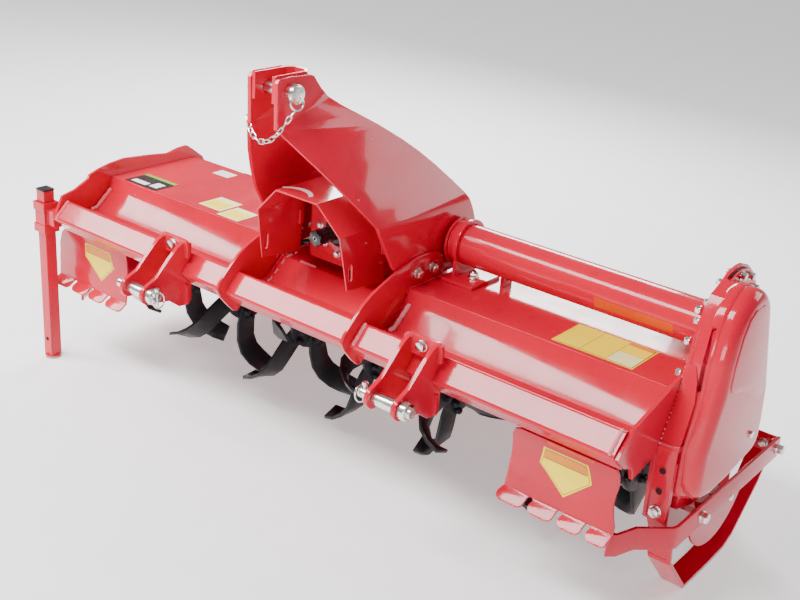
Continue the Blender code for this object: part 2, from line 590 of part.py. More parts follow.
def tine(name, x_face, hand, angle):
    """One curved blade: flat root on the flange, swept back, its tip bent across."""
    bend = 0.084 * hand
    path = [
        (0.048, 0.000, 0.0), (0.094, 0.002, 0.0), (0.134, 0.010, 0.001), (0.164, 0.024, 0.007),
        (0.184, 0.038, 0.024), (0.195, 0.047, 0.046), (0.198, 0.052, 0.072),
    ]
    rows = []
    for i, (r, back, out) in enumerate(path):
        if i == 0:
            dr, db = path[1][0] - r, path[1][1] - back
        elif i == len(path) - 1:
            dr, db = r - path[i - 1][0], back - path[i - 1][1]
        else:
            dr, db = path[i + 1][0] - path[i - 1][0], path[i + 1][1] - path[i - 1][1]
        size = math.hypot(dr, db)
        half = 0.024 + 0.005 * min(i, 1) - 0.003 * max(i - 4, 0)
        nr, nb = -db / size * half, dr / size * half
        pair = []
        for sign in (-1, 1):
            rr = r + nr * sign
            bb = back + nb * sign
            a = math.radians(angle)
            y = rr * math.cos(a) - bb * math.sin(a)
            z = rr * math.sin(a) + bb * math.cos(a)
            pair.append((x_face + out / 0.072 * bend, ROTOR_Y + y, ROTOR_Z + z))
        rows.append(pair)
    return sheet(name, rows, TINE_T, BLACK, 0.0)


FLANGE_STEP = 0.232
FLANGE_T = 0.008
for index in range(7):
    centre = (index - 3) * FLANGE_STEP
    name = "tine_set_%d" % (index + 1)
    disc = rod(name, (centre - FLANGE_T / 2, ROTOR_Y, ROTOR_Z), (centre + FLANGE_T / 2, ROTOR_Y, ROTOR_Z),
               FLANGE_R, BLACK, 24)
    for k in range(6 if 0 < index < 6 else 4):
        hand = 1 if k % 2 == 0 else -1
        if index == 0:
            hand = 1
        if index == 6:
            hand = -1
        face = centre + hand * (FLANGE_T / 2 + TINE_T / 2 - 0.001)
        count = 6 if 0 < index < 6 else 4
        join(disc, tine("%s_blade_%d" % (name, k), face, hand, 360.0 / count * k + index * 17.0))
    cut(disc, rod(name + "_bore", (centre - 0.1, ROTOR_Y, ROTOR_Z), (centre + 0.1, ROTOR_Y, ROTOR_Z),
                  ROTOR_TUBE_R + FIT, BLACK, RENDER_SEGMENTS, as_tool=True))

# ------------------------------------------------------------------ rear gate
gate_rod = rod("gate_rod", (-HALF_WIDTH + FIT, GATE_Y, GATE_Z), (HALF_WIDTH - FIT, GATE_Y, GATE_Z), GATE_ROD_R, STEEL, 20)
gate_profile = [(GATE_Y + 0.006, GATE_Z - 0.006), (0.540, 0.020), (0.596, -0.030), (0.626, -0.110), (0.632, -0.200),
                (0.630, -0.300), (0.636, -0.370), (0.636, -GROUND)]
gate = plate_x("rear_gate", strip(gate_profile, 0.005, -1.0), -GATE_HALF, GATE_HALF, RED)
join(gate, rod("gate_barrel", (-GATE_HALF, GATE_Y, GATE_Z), (GATE_HALF, GATE_Y, GATE_Z), 0.0105, RED, 20))
cut(gate, rod("gate_bore", (-0.9, GATE_Y, GATE_Z), (0.9, GATE_Y, GATE_Z), GATE_ROD_R + SLIDE_GAP, RED, 20, as_tool=True))
hinge_origin(gate, 0, GATE_Y, GATE_Z)
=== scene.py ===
"""Looks of a shaft-driven rotary tiller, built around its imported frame.

X runs across the machine with the side drive at +X, -Y is the hitch side and +Z is up. The sizes in the
classes are metres in the beam's own frame, whose zero is the front edge of the headstock beam at mid-width;
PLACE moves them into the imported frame, which stands on z = 0.
"""

import json
import logging
import math
from dataclasses import dataclass, field
from enum import Enum
from typing import Callable, Sequence

import bmesh
import bpy
from mathutils import Matrix, Vector


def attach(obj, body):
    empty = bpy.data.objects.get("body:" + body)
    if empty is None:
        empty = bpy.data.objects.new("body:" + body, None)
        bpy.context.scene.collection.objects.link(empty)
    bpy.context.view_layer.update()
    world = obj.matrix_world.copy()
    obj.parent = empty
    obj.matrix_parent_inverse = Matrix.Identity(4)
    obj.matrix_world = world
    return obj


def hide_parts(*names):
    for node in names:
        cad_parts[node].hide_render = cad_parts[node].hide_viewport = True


log = logging.getLogger("rotavator")
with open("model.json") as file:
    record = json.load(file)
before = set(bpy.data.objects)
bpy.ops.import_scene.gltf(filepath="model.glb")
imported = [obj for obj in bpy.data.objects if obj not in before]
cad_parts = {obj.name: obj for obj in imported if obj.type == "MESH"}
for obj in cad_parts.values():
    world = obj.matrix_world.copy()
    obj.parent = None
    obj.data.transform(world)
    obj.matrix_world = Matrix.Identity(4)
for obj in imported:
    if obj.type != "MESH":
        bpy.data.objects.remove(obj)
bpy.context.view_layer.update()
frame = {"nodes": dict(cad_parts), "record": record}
PLACE = Vector((-0.0050, -0.2872, 0.415))
SHARP = math.radians(34)
ACROSS, BACK, UP = Vector((1, 0, 0)), Vector((0, 1, 0)), Vector((0, 0, 1))
FRONT = -BACK
Point = Sequence[float]
Colour = tuple[float, float, float]
Socket = bpy.types.NodeSocket
Solid = bmesh.types.BMesh


class Body(Enum):
    """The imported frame's bodies, which the pieces ride on."""

    FRAME = "frame"
    ROTOR = "rotor"
    INPUT = "input_shaft"
    STAND = "stand"
    GATE = "gate"


class Slot(Enum):
    """The record's material slots."""

    RED = "red_paint"
    BLACK = "black_paint"
    STEEL = "bright_steel"


class Facing(Enum):
    """The axis that a plate is square to, with the turn from the plane it is drawn in."""

    X = ((0, 0, 1), (1, 0, 0), (0, 1, 0))
    Z = ((1, 0, 0), (0, 1, 0), (0, 0, 1))


class Side(Enum):
    """A side of the machine, with the sign of its X."""

    RIGHT = 1
    LEFT = -1

    def named(self, stem: str) -> str:
        """A name that ends with the side."""
        return stem + self.name.lower()


# ---------------------------------------------------------------------------------------- finishes
class Graph:
    """A material's node tree, with short calls for the nodes that a finish is made of."""

    def __init__(self, name: str) -> None:
        """Start a material with its shader and its object coordinates.

        Args:
            name: name of the material.
        """
        self.material = bpy.data.materials.new(name)
        self.material.use_nodes = True
        self.tree = self.material.node_tree
        self.shader = self.tree.nodes["Principled BSDF"]
        self.place = self.tree.nodes.new("ShaderNodeTexCoord").outputs["Object"]

    def _node(self, kind: str, **facts: object) -> bpy.types.Node:
        """Add a node.

        Args:
            kind: the node's type.
            facts: plain properties to set, by name.

        Returns:
            The new node.
        """
        node = self.tree.nodes.new(kind)
        for key, value in facts.items():
            setattr(node, key, value)
        return node

    def link(self, start: Socket, end: Socket) -> None:
        """Join two sockets."""
        self.tree.links.new(start, end)

    def noise(self, scale: float, detail: float = 3.0, stretch: Point = (1, 1, 1)) -> Socket:
        """Smooth noise over the object.

        Args:
            scale: how fine the noise is.
            detail: how many finer layers it has.
            stretch: scale along X, Y and Z, where less than 1 draws it out.

        Returns:
            The noise, from 0 to 1.
        """
        mapping = self._node("ShaderNodeMapping")
        mapping.inputs["Scale"].default_value = stretch
        self.link(self.place, mapping.inputs["Vector"])
        node = self._node("ShaderNodeTexNoise")
        node.inputs["Scale"].default_value = scale
        node.inputs["Detail"].default_value = detail
        self.link(mapping.outputs["Vector"], node.inputs["Vector"])
        return node.outputs["Fac"]

    def cells(self, scale: float) -> Socket:
        """Scattered cells.

        Args:
            scale: how small the cells are.

        Returns:
            The distance from the cells' middles.
        """
        node = self._node("ShaderNodeTexVoronoi")
        node.inputs["Scale"].default_value = scale
        self.link(self.place, node.inputs["Vector"])
        return node.outputs["Distance"]

    def height(self) -> Socket:
        """Height above the floor at rest.

        Returns:
            The height in metres.
        """
        node = self._node("ShaderNodeSeparateXYZ")
        self.link(self.place, node.inputs["Vector"])
        return node.outputs["Z"]

    def ramp(self, value: Socket, start: float, end: float, low: float = 0.0, high: float = 1.0) -> Socket:
        """Map a value smoothly to a range, and keep it there.

        Args:
            value: the value to map.
            start: where the range begins.
            end: where it ends.
            low: the result at start.
            high: the result at end.

        Returns:
            The mapped value.
        """
        node = self._node("ShaderNodeMapRange", interpolation_type='SMOOTHSTEP')
        self.link(value, node.inputs["Value"])
        for name, number in (("From Min", start), ("From Max", end), ("To Min", low), ("To Max", high)):
            node.inputs[name].default_value = number
        return node.outputs["Result"]

    def times(self, one: Socket, two: Socket) -> Socket:
        """Multiply two values.

        Args:
            one: the first value.
            two: the second value.

        Returns:
            Their product.
        """
        node = self._node("ShaderNodeMath", operation='MULTIPLY')
        self.link(one, node.inputs[0])
        self.link(two, node.inputs[1])
        return node.outputs[0]

    def blend(self, share: Socket, one: Socket | Colour, two: Socket | Colour) -> Socket:
        """Mix two colours.

        Args:
            share: the second colour's share.
            one: the colour at 0.
            two: the colour at 1.

        Returns:
            The mixed colour.
        """
        node = self._node("ShaderNodeMix", data_type='RGBA')
        self.link(share, node.inputs[0])
        for index, value in ((6, one), (7, two)):
            if isinstance(value, Socket):
                self.link(value, node.inputs[index])
            else:
                node.inputs[index].default_value = (*value, 1.0)
        return node.outputs[2]

    def bump(self, value: Socket, strength: float, distance: float) -> None:
        """Add a bump layer over the ones already there.

        Args:
            value: the height.
            strength: the layer's strength.
            distance: depth of the bumps, less than 0 for dents.
        """
        node = self._node("ShaderNodeBump")
        node.inputs["Strength"].default_value = strength
        node.inputs["Distance"].default_value = distance
        self.link(value, node.inputs["Height"])
        links = self.shader.inputs["Normal"].links
        if links:
            self.link(links[0].from_socket, node.inputs["Normal"])
        self.link(node.outputs["Normal"], self.shader.inputs["Normal"])

    def set(self, **values: float) -> None:
        """Set constants on the shader's sockets, named with _ for a space."""
        for key, value in values.items():
            self.shader.inputs[key.replace("_", " ")].default_value = value

    def finish(self, tone: Socket, rough: Socket) -> None:
        """Give the shader its colour and its roughness."""
        self.link(tone, self.shader.inputs["Base Color"])
        self.link(rough, self.shader.inputs["Roughness"])


@dataclass(frozen=True)
class Finish:
    """A finish: colour and gloss with the wear that every surface has.

    Args:
        name: name of the material.
        colour: main colour.
        shade: colour that the broad patches lean to.
        gloss: lowest and highest roughness.
        slot: the record's slot, where it has one; not used.
    """

    name: str
    colour: Colour
    shade: Colour
    gloss: tuple[float, float] = (0.3, 0.5)
    slot: Slot | None = None

    def material(self) -> bpy.types.Material:
        """Find the finish's material, or make it at its first use.

        Returns:
            The material.
        """
        found = bpy.data.materials.get(self.name)
        if found:
            return found
        graph = Graph(self.name)
        self.dress(graph)
        return graph.material

    def dress(self, graph: Graph) -> None:
        """Lay the plain finish: broad patches, uneven gloss and a fine grain.

        Args:
            graph: the graph to lay it on.
        """
        tone = graph.blend(graph.ramp(graph.noise(9.0, 5.0), 0.35, 0.7), self.colour, self.shade)
        graph.finish(tone, graph.ramp(graph.noise(38.0, 4.0), 0.3, 0.7, *self.gloss))
        graph.bump(graph.noise(420.0, 2.0), 0.12, 0.0004)
        graph.set(Specular_IOR_Level=0.25)


@dataclass(frozen=True)
class Enamel(Finish):
    """Sprayed machine enamel: orange peel, dust, chips, and bare steel where it rubs on the ground.

    Args:
        chips: how many chips show, from 0 to 1.
        rubbed: height below which the paint is rubbed through.
        bare: colour of the steel beneath.
        coat: weight of the clear gloss on top.
    """

    chips: float = 0.25
    rubbed: float = -1.0
    bare: Colour = (0.32, 0.29, 0.27)
    coat: float = 0.32

    def dress(self, graph: Graph) -> None:
        """Lay the enamel, from its colour up to the clear gloss.

        Args:
            graph: the graph to lay it on.
        """
        tone = graph.blend(graph.ramp(graph.noise(3.0, 4.0), 0.38, 0.66), self.colour, self.shade)
        grime = graph.ramp(graph.noise(26.0, 8.0), 0.56, 0.80, 0.0, 0.30)
        tone = graph.blend(grime, tone, tuple(c * 0.45 + 0.012 for c in self.shade))
        dust = graph.ramp(graph.noise(640.0, 2.0), 0.63, 0.72, 0.0, 0.16)
        tone = graph.blend(dust, tone, tuple(0.35 + c * 0.4 for c in self.colour))
        spots = graph.ramp(graph.cells(34.0), 0.075, 0.045)
        spots = graph.times(spots, graph.ramp(graph.noise(7.0, 2.0), 0.62 - 0.1 * self.chips, 0.64))
        tone = graph.blend(spots, tone, self.bare)
        rough = graph.ramp(graph.noise(19.0, 6.0), 0.3, 0.75, *self.gloss)
        if self.rubbed > 0.0:
            low = graph.ramp(graph.height(), self.rubbed, self.rubbed * 0.35)
            scuff = graph.times(low, graph.ramp(graph.noise(55.0, 9.0, (0.35, 1, 1)), 0.44, 0.56))
            tone = graph.blend(scuff, tone, self.bare)
            graph.bump(scuff, 0.35, -0.0003)
        graph.finish(tone, rough)
        graph.bump(graph.noise(150.0, 2.0), 0.16, 0.0006)
        graph.bump(graph.noise(4.0, 2.0), 0.10, 0.004)
        graph.bump(spots, 0.6, -0.0003)
        graph.set(Coat_Weight=self.coat, Coat_Roughness=0.04, Specular_IOR_Level=0.22)


@dataclass(frozen=True)
class Metal(Finish):
    """Bare or plated metal, brushed along one axis, with tarnish.

    Args:
        stretch: how the brushing is drawn out along X, Y and Z.
    """

    stretch: tuple[float, float, float] = (0.08, 1.0, 1.0)

    def dress(self, graph: Graph) -> None:
        """Lay the metal: tarnish, and gloss and grain along the brushing.

        Args:
            graph: the graph to lay it on.
        """
        tone = graph.blend(graph.ramp(graph.noise(60.0, 6.0), 0.42, 0.68), self.colour, self.shade)
        graph.finish(tone, graph.ramp(graph.noise(90.0, 5.0, self.stretch), 0.3, 0.7, *self.gloss))
        graph.bump(graph.noise(700.0, 2.0, self.stretch), 0.08, 0.0002)
        graph.set(Metallic=1.0)


PAINT: Colour = (0.60, 0.0005, 0.026)
RED = Enamel("enamel_red", PAINT, (0.50, 0.0003, 0.022), (0.10, 0.20), Slot.RED)
RED_RUBBED = Enamel("enamel_red_rubbed", PAINT, (0.48, 0.0003, 0.022), (0.12, 0.24), Slot.RED, 0.5, 0.007)
# Weld beads in a pale pink: a painted glint, the highlight that shiny beads catch, laid into their colour.
PAINTED_GLINT_BEAD = Enamel("weld_bead_painted_glint", (0.78, 0.24, 0.27), (0.66, 0.07, 0.09), (0.22, 0.40), Slot.RED, 0.1)
BLACK = Enamel("enamel_black", (0.010, 0.011, 0.014), (0.019, 0.020, 0.024), (0.30, 0.50), Slot.BLACK,
               0.30, 0.03, (0.16, 0.15, 0.15), 0.15)
ZINC = Metal("zinc_plate", (0.80, 0.80, 0.78), (0.62, 0.62, 0.58), (0.16, 0.34), Slot.STEEL)
OXIDE = Metal("black_oxide", (0.055, 0.055, 0.060), (0.110, 0.105, 0.10), (0.26, 0.44))
RUBBER = Finish("black_plastic", (0.012, 0.012, 0.013), (0.026, 0.026, 0.028), (0.38, 0.58))
# Near-black for holes: painted shade, the darkness inside a hole laid as a colour on a disc or plug.
PAINTED_SHADE_HOLE = Finish("painted_shade_hole", (0.030, 0.003, 0.004), (0.012, 0.003, 0.003), (0.70, 0.90))
YELLOW = Finish("vinyl_yellow", (0.98, 0.74, 0.018), (0.93, 0.68, 0.014), (0.24, 0.40))
ORANGE = Finish("vinyl_orange", (0.78, 0.24, 0.012), (0.70, 0.19, 0.010), (0.24, 0.40))
AMBER = Finish("vinyl_amber", (0.66, 0.070, 0.006), (0.58, 0.045, 0.005), (0.22, 0.38))
CREAM = Finish("vinyl_cream", (0.90, 0.84, 0.40), (0.84, 0.78, 0.33), (0.26, 0.42))
WHITE = Finish("vinyl_white", (0.86, 0.86, 0.84), (0.78, 0.78, 0.76), (0.24, 0.40))
INK = Finish("vinyl_black", (0.014, 0.014, 0.015), (0.028, 0.028, 0.028), (0.26, 0.44))
GREEN = Finish("vinyl_green", (0.20, 0.42, 0.05), (0.16, 0.36, 0.04), (0.26, 0.42))


# ---------------------------------------------------------------------------------------- solids
class Solids:
    """Plain solids made with mesh operators, each in a mesh of its own, in the beam's frame."""

    @staticmethod
    def turn_to(direction: Point) -> Matrix:
        """The turn that takes +Z to a direction."""
        return Vector(direction).to_track_quat('Z', 'Y').to_matrix().to_4x4()

    @staticmethod
    def at_x(x: float, spots: Sequence[Point]) -> list[tuple[float, float, float]]:
        """Points given as y and z, all at one x."""
        return [(x, y, z) for y, z in spots]

    @staticmethod
    def arc(cu: float, cv: float, radius: float, start: float, end: float, steps: int) -> list[Point]:
        """Points along an arc about (cu, cv), from one angle in degrees to another."""
        turns = [math.radians(start + (end - start) * i / steps) for i in range(steps + 1)]
        return [(cu + radius * math.cos(a), cv + radius * math.sin(a)) for a in turns]

    @staticmethod
    def strip(path: Sequence[Point], thickness: float, side: float) -> list[Point]:
        """The closed outline of a bent flat bar.

        Args:
            path: the line that its one face follows.
            thickness: the bar's thickness.
            side: 1 or -1, the side of the line that it lies on.

        Returns:
            The outline's points.
        """
        inner = []
        for i, spot in enumerate(path):
            legs = [Vector(path[j + 1]) - Vector(path[j]) for j in (i - 1, i) if 0 <= j < len(path) - 1]
            away = sum((Vector((-leg.y, leg.x)).normalized() * side for leg in legs), Vector((0, 0))) / len(legs)
            inner.append(tuple(Vector(spot) + away / away.length_squared * thickness))
        return list(path) + inner[::-1]

    @staticmethod
    def cut(solid: Solid, spot: Point, away: Point, clear: bool = False) -> None:
        """Cut a solid's faces along a plane, and drop what lies past it if clear."""
        bmesh.ops.bisect_plane(solid, geom=solid.verts[:] + solid.edges[:] + solid.faces[:],
                               plane_co=spot, plane_no=away, clear_outer=clear)

    @staticmethod
    def spin(solid: Solid, centre: Point, axis: Point, angle: float, steps: int) -> None:
        """Sweep an open section about an axis, and close it on itself after a full turn.

        Args:
            solid: the mesh that holds the section.
            centre: a point on the axis.
            axis: the axis's direction.
            angle: how far it sweeps, in radians.
            steps: how many steps the sweep takes.
        """
        bmesh.ops.spin(solid, geom=solid.verts[:] + solid.edges[:], cent=centre, axis=axis, dvec=(0, 0, 0),
                       angle=angle, steps=steps, use_merge=angle >= math.tau, use_normal_flip=False,
                       use_duplicate=False)

    @staticmethod
    def _round(solid: Solid, edges: list[bmesh.types.BMEdge], width: float) -> None:
        """Round some of a solid's edges, if the width isn't zero."""
        if width:
            bmesh.ops.bevel(solid, geom=edges, offset=width, segments=2, profile=0.5, affect='EDGES', material=-1)

    @classmethod
    def box(cls, low: Point, high: Point, edge: float = 0.0) -> Solid:
        """A box.

        Args:
            low: its lowest corner.
            high: its highest corner.
            edge: round on its edges.

        Returns:
            The box.
        """
        low, high = Vector(low), Vector(high)
        solid = bmesh.new()
        size = Matrix.Diagonal((*(high - low), 1.0))
        bmesh.ops.create_cube(solid, size=1.0, matrix=Matrix.Translation((low + high) / 2) @ size)
        cls._round(solid, solid.edges[:], edge)
        return solid

    @classmethod
    def bar(cls, start: Point, end: Point, radius: float, sides: int = 32, end_radius: float | None = None,
            edge: float = 0.0) -> Solid:
        """A round or many-sided bar.

        Args:
            start: middle of its first end.
            end: middle of its last end.
            radius: radius to its corners.
            sides: how many sides it has.
            end_radius: radius at its last end, if it tapers.
            edge: round on its rims.

        Returns:
            The bar.
        """
        start, end = Vector(start), Vector(end)
        solid = bmesh.new()
        bmesh.ops.create_cone(solid, cap_ends=True, segments=sides, radius1=radius, depth=(end - start).length,
                              radius2=radius if end_radius is None else end_radius)
        cls._round(solid, [e for e in solid.edges if abs(e.verts[0].co.z - e.verts[1].co.z) < 1e-6], edge)
        place = Matrix.Translation((start + end) / 2) @ cls.turn_to(end - start)
        bmesh.ops.transform(solid, matrix=place, verts=solid.verts)
        return solid

    @classmethod
    def ring(cls, centre: Point, axis: Point, radius: float, wire: float, steps: int = 28) -> Solid:
        """A ring of round wire.

        Args:
            centre: the ring's middle.
            axis: the axis it goes round.
            radius: radius to the wire's middle.
            wire: radius of the wire.
            steps: how many steps it is drawn in.

        Returns:
            The ring.
        """
        solid = bmesh.new()
        section = Matrix.Translation((radius, 0, 0)) @ Matrix.Rotation(math.pi / 2, 4, 'X')
        bmesh.ops.create_circle(solid, segments=10, radius=wire, matrix=section)
        cls.spin(solid, (0, 0, 0), UP, math.tau, steps)
        bmesh.ops.recalc_face_normals(solid, faces=solid.faces[:])
        bmesh.ops.transform(solid, matrix=Matrix.Translation(Vector(centre)) @ cls.turn_to(axis),
                            verts=solid.verts)
        return solid

    @staticmethod
    def _curve(points: Sequence[Point], closed: bool) -> bpy.types.Curve:
        """A curve of straight legs, flat where its points have two coordinates.

        Args:
            points: the points it runs through.
            closed: whether it ends where it began.

        Returns:
            The curve.
        """
        flat = len(points[0]) == 2
        curve = bpy.data.curves.new("outline", 'CURVE')
        curve.dimensions = '2D' if flat else '3D'
        spline = curve.splines.new('POLY')
        spline.points.add(len(points) - 1)
        for point, spot in zip(spline.points, points):
            point.co = (*spot, 0.0, 1.0) if flat else (*spot, 1.0)
        spline.use_cyclic_u = closed
        return curve

    @staticmethod
    def _from_curve(curve: bpy.types.Curve, place: Matrix) -> Solid:
        """A curve's mesh, welded and put in place.

        Args:
            curve: the curve, which is used up.
            place: where its mesh goes.

        Returns:
            The mesh.
        """
        holder = bpy.data.objects.new("outline", curve)
        bpy.context.scene.collection.objects.link(holder)
        bpy.context.view_layer.update()
        mesh = bpy.data.meshes.new_from_object(holder.evaluated_get(bpy.context.evaluated_depsgraph_get()))
        bpy.data.objects.remove(holder, do_unlink=True)
        solid = bmesh.new()
        solid.from_mesh(mesh)
        bpy.data.meshes.remove(mesh)
        bmesh.ops.remove_doubles(solid, verts=solid.verts[:], dist=0.00001)
        bmesh.ops.transform(solid, matrix=place, verts=solid.verts)
        bmesh.ops.recalc_face_normals(solid, faces=solid.faces[:])
        return solid

    @classmethod
    def plate(cls, outline: Sequence[Point], facing: Facing, low: float, high: float,
              edge: float = 0.0, steps: int = 2) -> Solid:
        """A plate drawn as an outline in the plane that it is square to.

        Args:
            outline: its corners, in order.
            facing: the axis that it is square to.
            low: where it starts on that axis.
            high: where it ends on that axis.
            edge: round on its edges.
            steps: how finely the round is drawn.

        Returns:
            The plate.
        """
        curve = cls._curve(outline, True)
        curve.fill_mode = 'BOTH'
        curve.extrude = abs(high - low) / 2 - edge
        curve.bevel_depth = edge
        curve.bevel_resolution = steps
        curve.offset = -edge
        return cls._from_curve(curve, Matrix(facing.value).to_4x4() @ Matrix.Translation((0, 0, (low + high) / 2)))

    @classmethod
    def wire(cls, path: Sequence[Point], radius: float, closed: bool = False) -> Solid:
        """Round wire.

        Args:
            path: the line that it follows.
            radius: radius of the wire.
            closed: whether it ends where it began.

        Returns:
            The wire.
        """
        curve = cls._curve([tuple(spot) for spot in path], closed)
        curve.bevel_depth = radius
        curve.bevel_resolution = 2
        curve.use_fill_caps = True
        return cls._from_curve(curve, Matrix.Identity(4))

    @classmethod
    def folded(cls, outline: Sequence[Point], rows: Sequence[Point], thickness: float,
               edge: float = 0.0008) -> Solid:
        """A sheet cut to an outline and folded along X.

        Args:
            outline: the flat cut, as x and the distance down the rows.
            rows: the folded middle line, as y and z, from the top down.
            thickness: the sheet's thickness.
            edge: round on the cut edges.

        Returns:
            The folded sheet, its outer face on the -Y side.
        """
        sheet = cls.plate(outline, Facing.Z, -thickness / 2, thickness / 2, edge)
        lengths = [0.0]
        for start, end in zip(rows, rows[1:]):
            lengths.append(lengths[-1] + math.dist(start, end))
        for at in lengths[1:-1]:
            cls.cut(sheet, (0, at, 0), BACK)
        for vert in sheet.verts:
            x, down, out = vert.co
            leg = max([i for i, total in enumerate(lengths[:-1]) if total <= down + 1e-7] or [0])
            (y0, z0), (y1, z1) = rows[leg], rows[leg + 1]
            span = lengths[leg + 1] - lengths[leg]
            dy, dz, share = (y1 - y0) / span, (z1 - z0) / span, (down - lengths[leg]) / span
            vert.co = (x, y0 + (y1 - y0) * share + dz * out, z0 + (z1 - z0) * share - dy * out)
        bmesh.ops.recalc_face_normals(sheet, faces=sheet.faces[:])
        return sheet

    @classmethod
    def film(cls, outline: Sequence[Point], front: Callable[[float], float], lift: float) -> Solid:
        """A thin film laid on the front of a bent sheet.

        Args:
            outline: its corners, as x and z, which make no hollow.
            front: the y of the sheet's front at a height.
            lift: how far the film stands off the sheet.

        Returns:
            The film.
        """
        xs, zs = [p[0] for p in outline], [p[1] for p in outline]
        middle = Vector((sum(xs) / len(xs), 0.0, sum(zs) / len(zs)))
        film = bmesh.new()
        size = Matrix.Diagonal((max(xs) - min(xs), max(zs) - min(zs), 1.0, 1.0))
        centre = Vector(((max(xs) + min(xs)) / 2, 0.0, (max(zs) + min(zs)) / 2))
        turn = Matrix.Translation(centre) @ Matrix.Rotation(math.pi / 2, 4, 'X')
        bmesh.ops.create_grid(film, x_segments=4, y_segments=24, size=0.5, matrix=turn @ size)
        corners = [Vector((x, 0.0, z)) for x, z in outline]
        for start, end in zip(corners, corners[1:] + corners[:1]):
            away = (end - start).cross(BACK)
            if away.dot(middle - start) > 0:
                away.negate()
            cls.cut(film, start, away, clear=True)
        for vert in film.verts:
            vert.co.y = front(vert.co.z) - lift
        return film


class Piece:
    """One visible piece: solids gathered in one mesh, each with its finish, riding on a body."""

    def __init__(self, name: str, body: Body = Body.FRAME) -> None:
        """Start an empty piece.

        Args:
            name: the piece's name.
            body: the body that it rides on.
        """
        self.name = name
        self.body = body
        self.shape = bmesh.new()
        self.finishes: list[Finish] = []

    def add(self, solid: Solid, finish: Finish) -> None:
        """Take a solid into the piece and free it.

        Args:
            solid: the solid.
            finish: its finish.
        """
        if finish not in self.finishes:
            self.finishes.append(finish)
        for face in solid.faces:
            face.material_index = self.finishes.index(finish)
        mesh = bpy.data.meshes.new("part")
        solid.to_mesh(mesh)
        solid.free()
        self.shape.from_mesh(mesh)
        bpy.data.meshes.remove(mesh)

    def done(self, *hidden: str) -> None:
        """Make the object, in place in its own mesh.

        Args:
            hidden: CAD nodes that the piece stands for.
        """
        bmesh.ops.translate(self.shape, vec=PLACE, verts=self.shape.verts)
        mesh = bpy.data.meshes.new(self.name)
        self.shape.to_mesh(mesh)
        self.shape.free()
        for finish in self.finishes:
            mesh.materials.append(finish.material())
        mesh.shade_smooth()
        mesh.set_sharp_from_angle(angle=SHARP)
        obj = bpy.data.objects.new(self.name, mesh)
        bpy.context.scene.collection.objects.link(obj)
        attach(obj, self.body.value)
        if hidden:
            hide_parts(*hidden)
        log.info("%s: %d faces on %s", self.name, len(mesh.polygons), self.body.value)


# ---------------------------------------------------------------------------------------- fittings
@dataclass(frozen=True)
class Bolt:
    """A hexagon-headed bolt or nut on a washer. The shares are of the size across the flats.

    Args:
        flats: size across the flats.
        head: height of the head.
        stud: thread that stands out past a nut.
        washer: share for the washer's thickness.
        brim: share for the washer's radius.
        crown: share for the radius of the head's raised round.
        thread: share for the stud's radius.
        pitch: pitch of the stud's thread.
    """

    flats: float = 0.017
    head: float = 0.0085
    stud: float = 0.0
    washer: float = 0.115
    brim: float = 0.66
    crown: float = 0.42
    thread: float = 0.29
    pitch: float = 0.002

    def fit(self, piece: Piece, spot: Point, axis: Point, finish: Finish = ZINC) -> None:
        """Put the bolt down.

        Args:
            piece: the piece that it belongs to.
            spot: where the washer sits.
            axis: the way that the head points.
            finish: the bolt's finish.
        """
        spot, axis = Vector(spot), Vector(axis).normalized()
        seat = spot + axis * self.flats * self.washer
        top = seat + axis * self.head
        piece.add(Solids.bar(spot - axis * 0.001, seat, self.flats * self.brim, 24, edge=0.0004), finish)
        piece.add(Solids.bar(seat, top, self.flats / math.sqrt(3), 6, edge=0.0009), finish)
        piece.add(Solids.bar(top - axis * 0.001, top + axis * 0.0008, self.flats * self.crown, 20, edge=0.0004),
                  finish)
        if self.stud:
            radius = self.flats * self.thread
            piece.add(Solids.bar(top, top + axis * self.stud, radius, 20, edge=0.0008), finish)
            for i in range(int(self.stud / self.pitch)):
                turn = top + axis * self.pitch * (i + 0.5)
                piece.add(Solids.ring(turn, axis, radius - self.flats * 0.005, 0.0006, 20), finish)

    def circle(self, piece: Piece, centre: Point, axis: Vector, radius: float, angles: Sequence[float]) -> None:
        """Put bolts down on a circle.

        Args:
            piece: the piece that they belong to.
            centre: the circle's centre.
            axis: the way that the heads point, along X or Y.
            radius: the circle's radius.
            angles: each bolt's angle, in degrees.
        """
        for turn in map(math.radians, angles):
            out = ACROSS if axis.y else BACK
            self.fit(piece, Vector(centre) + (out * math.cos(turn) + UP * math.sin(turn)) * radius, axis)


@dataclass(frozen=True)
class Weld:
    """A weld bead: overlapping ripples along a path.

    Args:
        radius: the bead's radius.
        pitch: distance between ripples.
        uneven: how far a ripple's size strays.
    """

    radius: float = 0.0032
    pitch: float = 0.0046
    uneven: float = 0.10

    def lay(self, piece: Piece, path: Sequence[Point], finish: Finish = RED, gap: float = 0.0,
            run: float = 1.0) -> None:
        """Lay the bead along a path, whole, or in runs with gaps between them.

        Args:
            piece: the piece that it belongs to.
            path: the line that it follows.
            finish: the bead's finish.
            gap: length of a gap, or 0 for a whole bead.
            run: length of a run.
        """
        beads = bmesh.new()
        walked = 0.0
        for start, end in zip(path, path[1:]):
            start, end = Vector(start), Vector(end)
            count = max(1, round((end - start).length / self.pitch))
            along = Solids.turn_to(end - start)
            for i in range(count):
                walked += (end - start).length / count
                if gap and walked % (run + gap) > run:
                    continue
                ripple = 1.0 + self.uneven * math.sin(walked * 1900.0)
                size = Matrix.Diagonal((ripple, ripple, 0.85, 1.0))
                place = Matrix.Translation(start.lerp(end, (i + 0.5) / count)) @ along @ size
                bmesh.ops.create_icosphere(beads, subdivisions=1, radius=self.radius, matrix=place)
        piece.add(beads, finish)


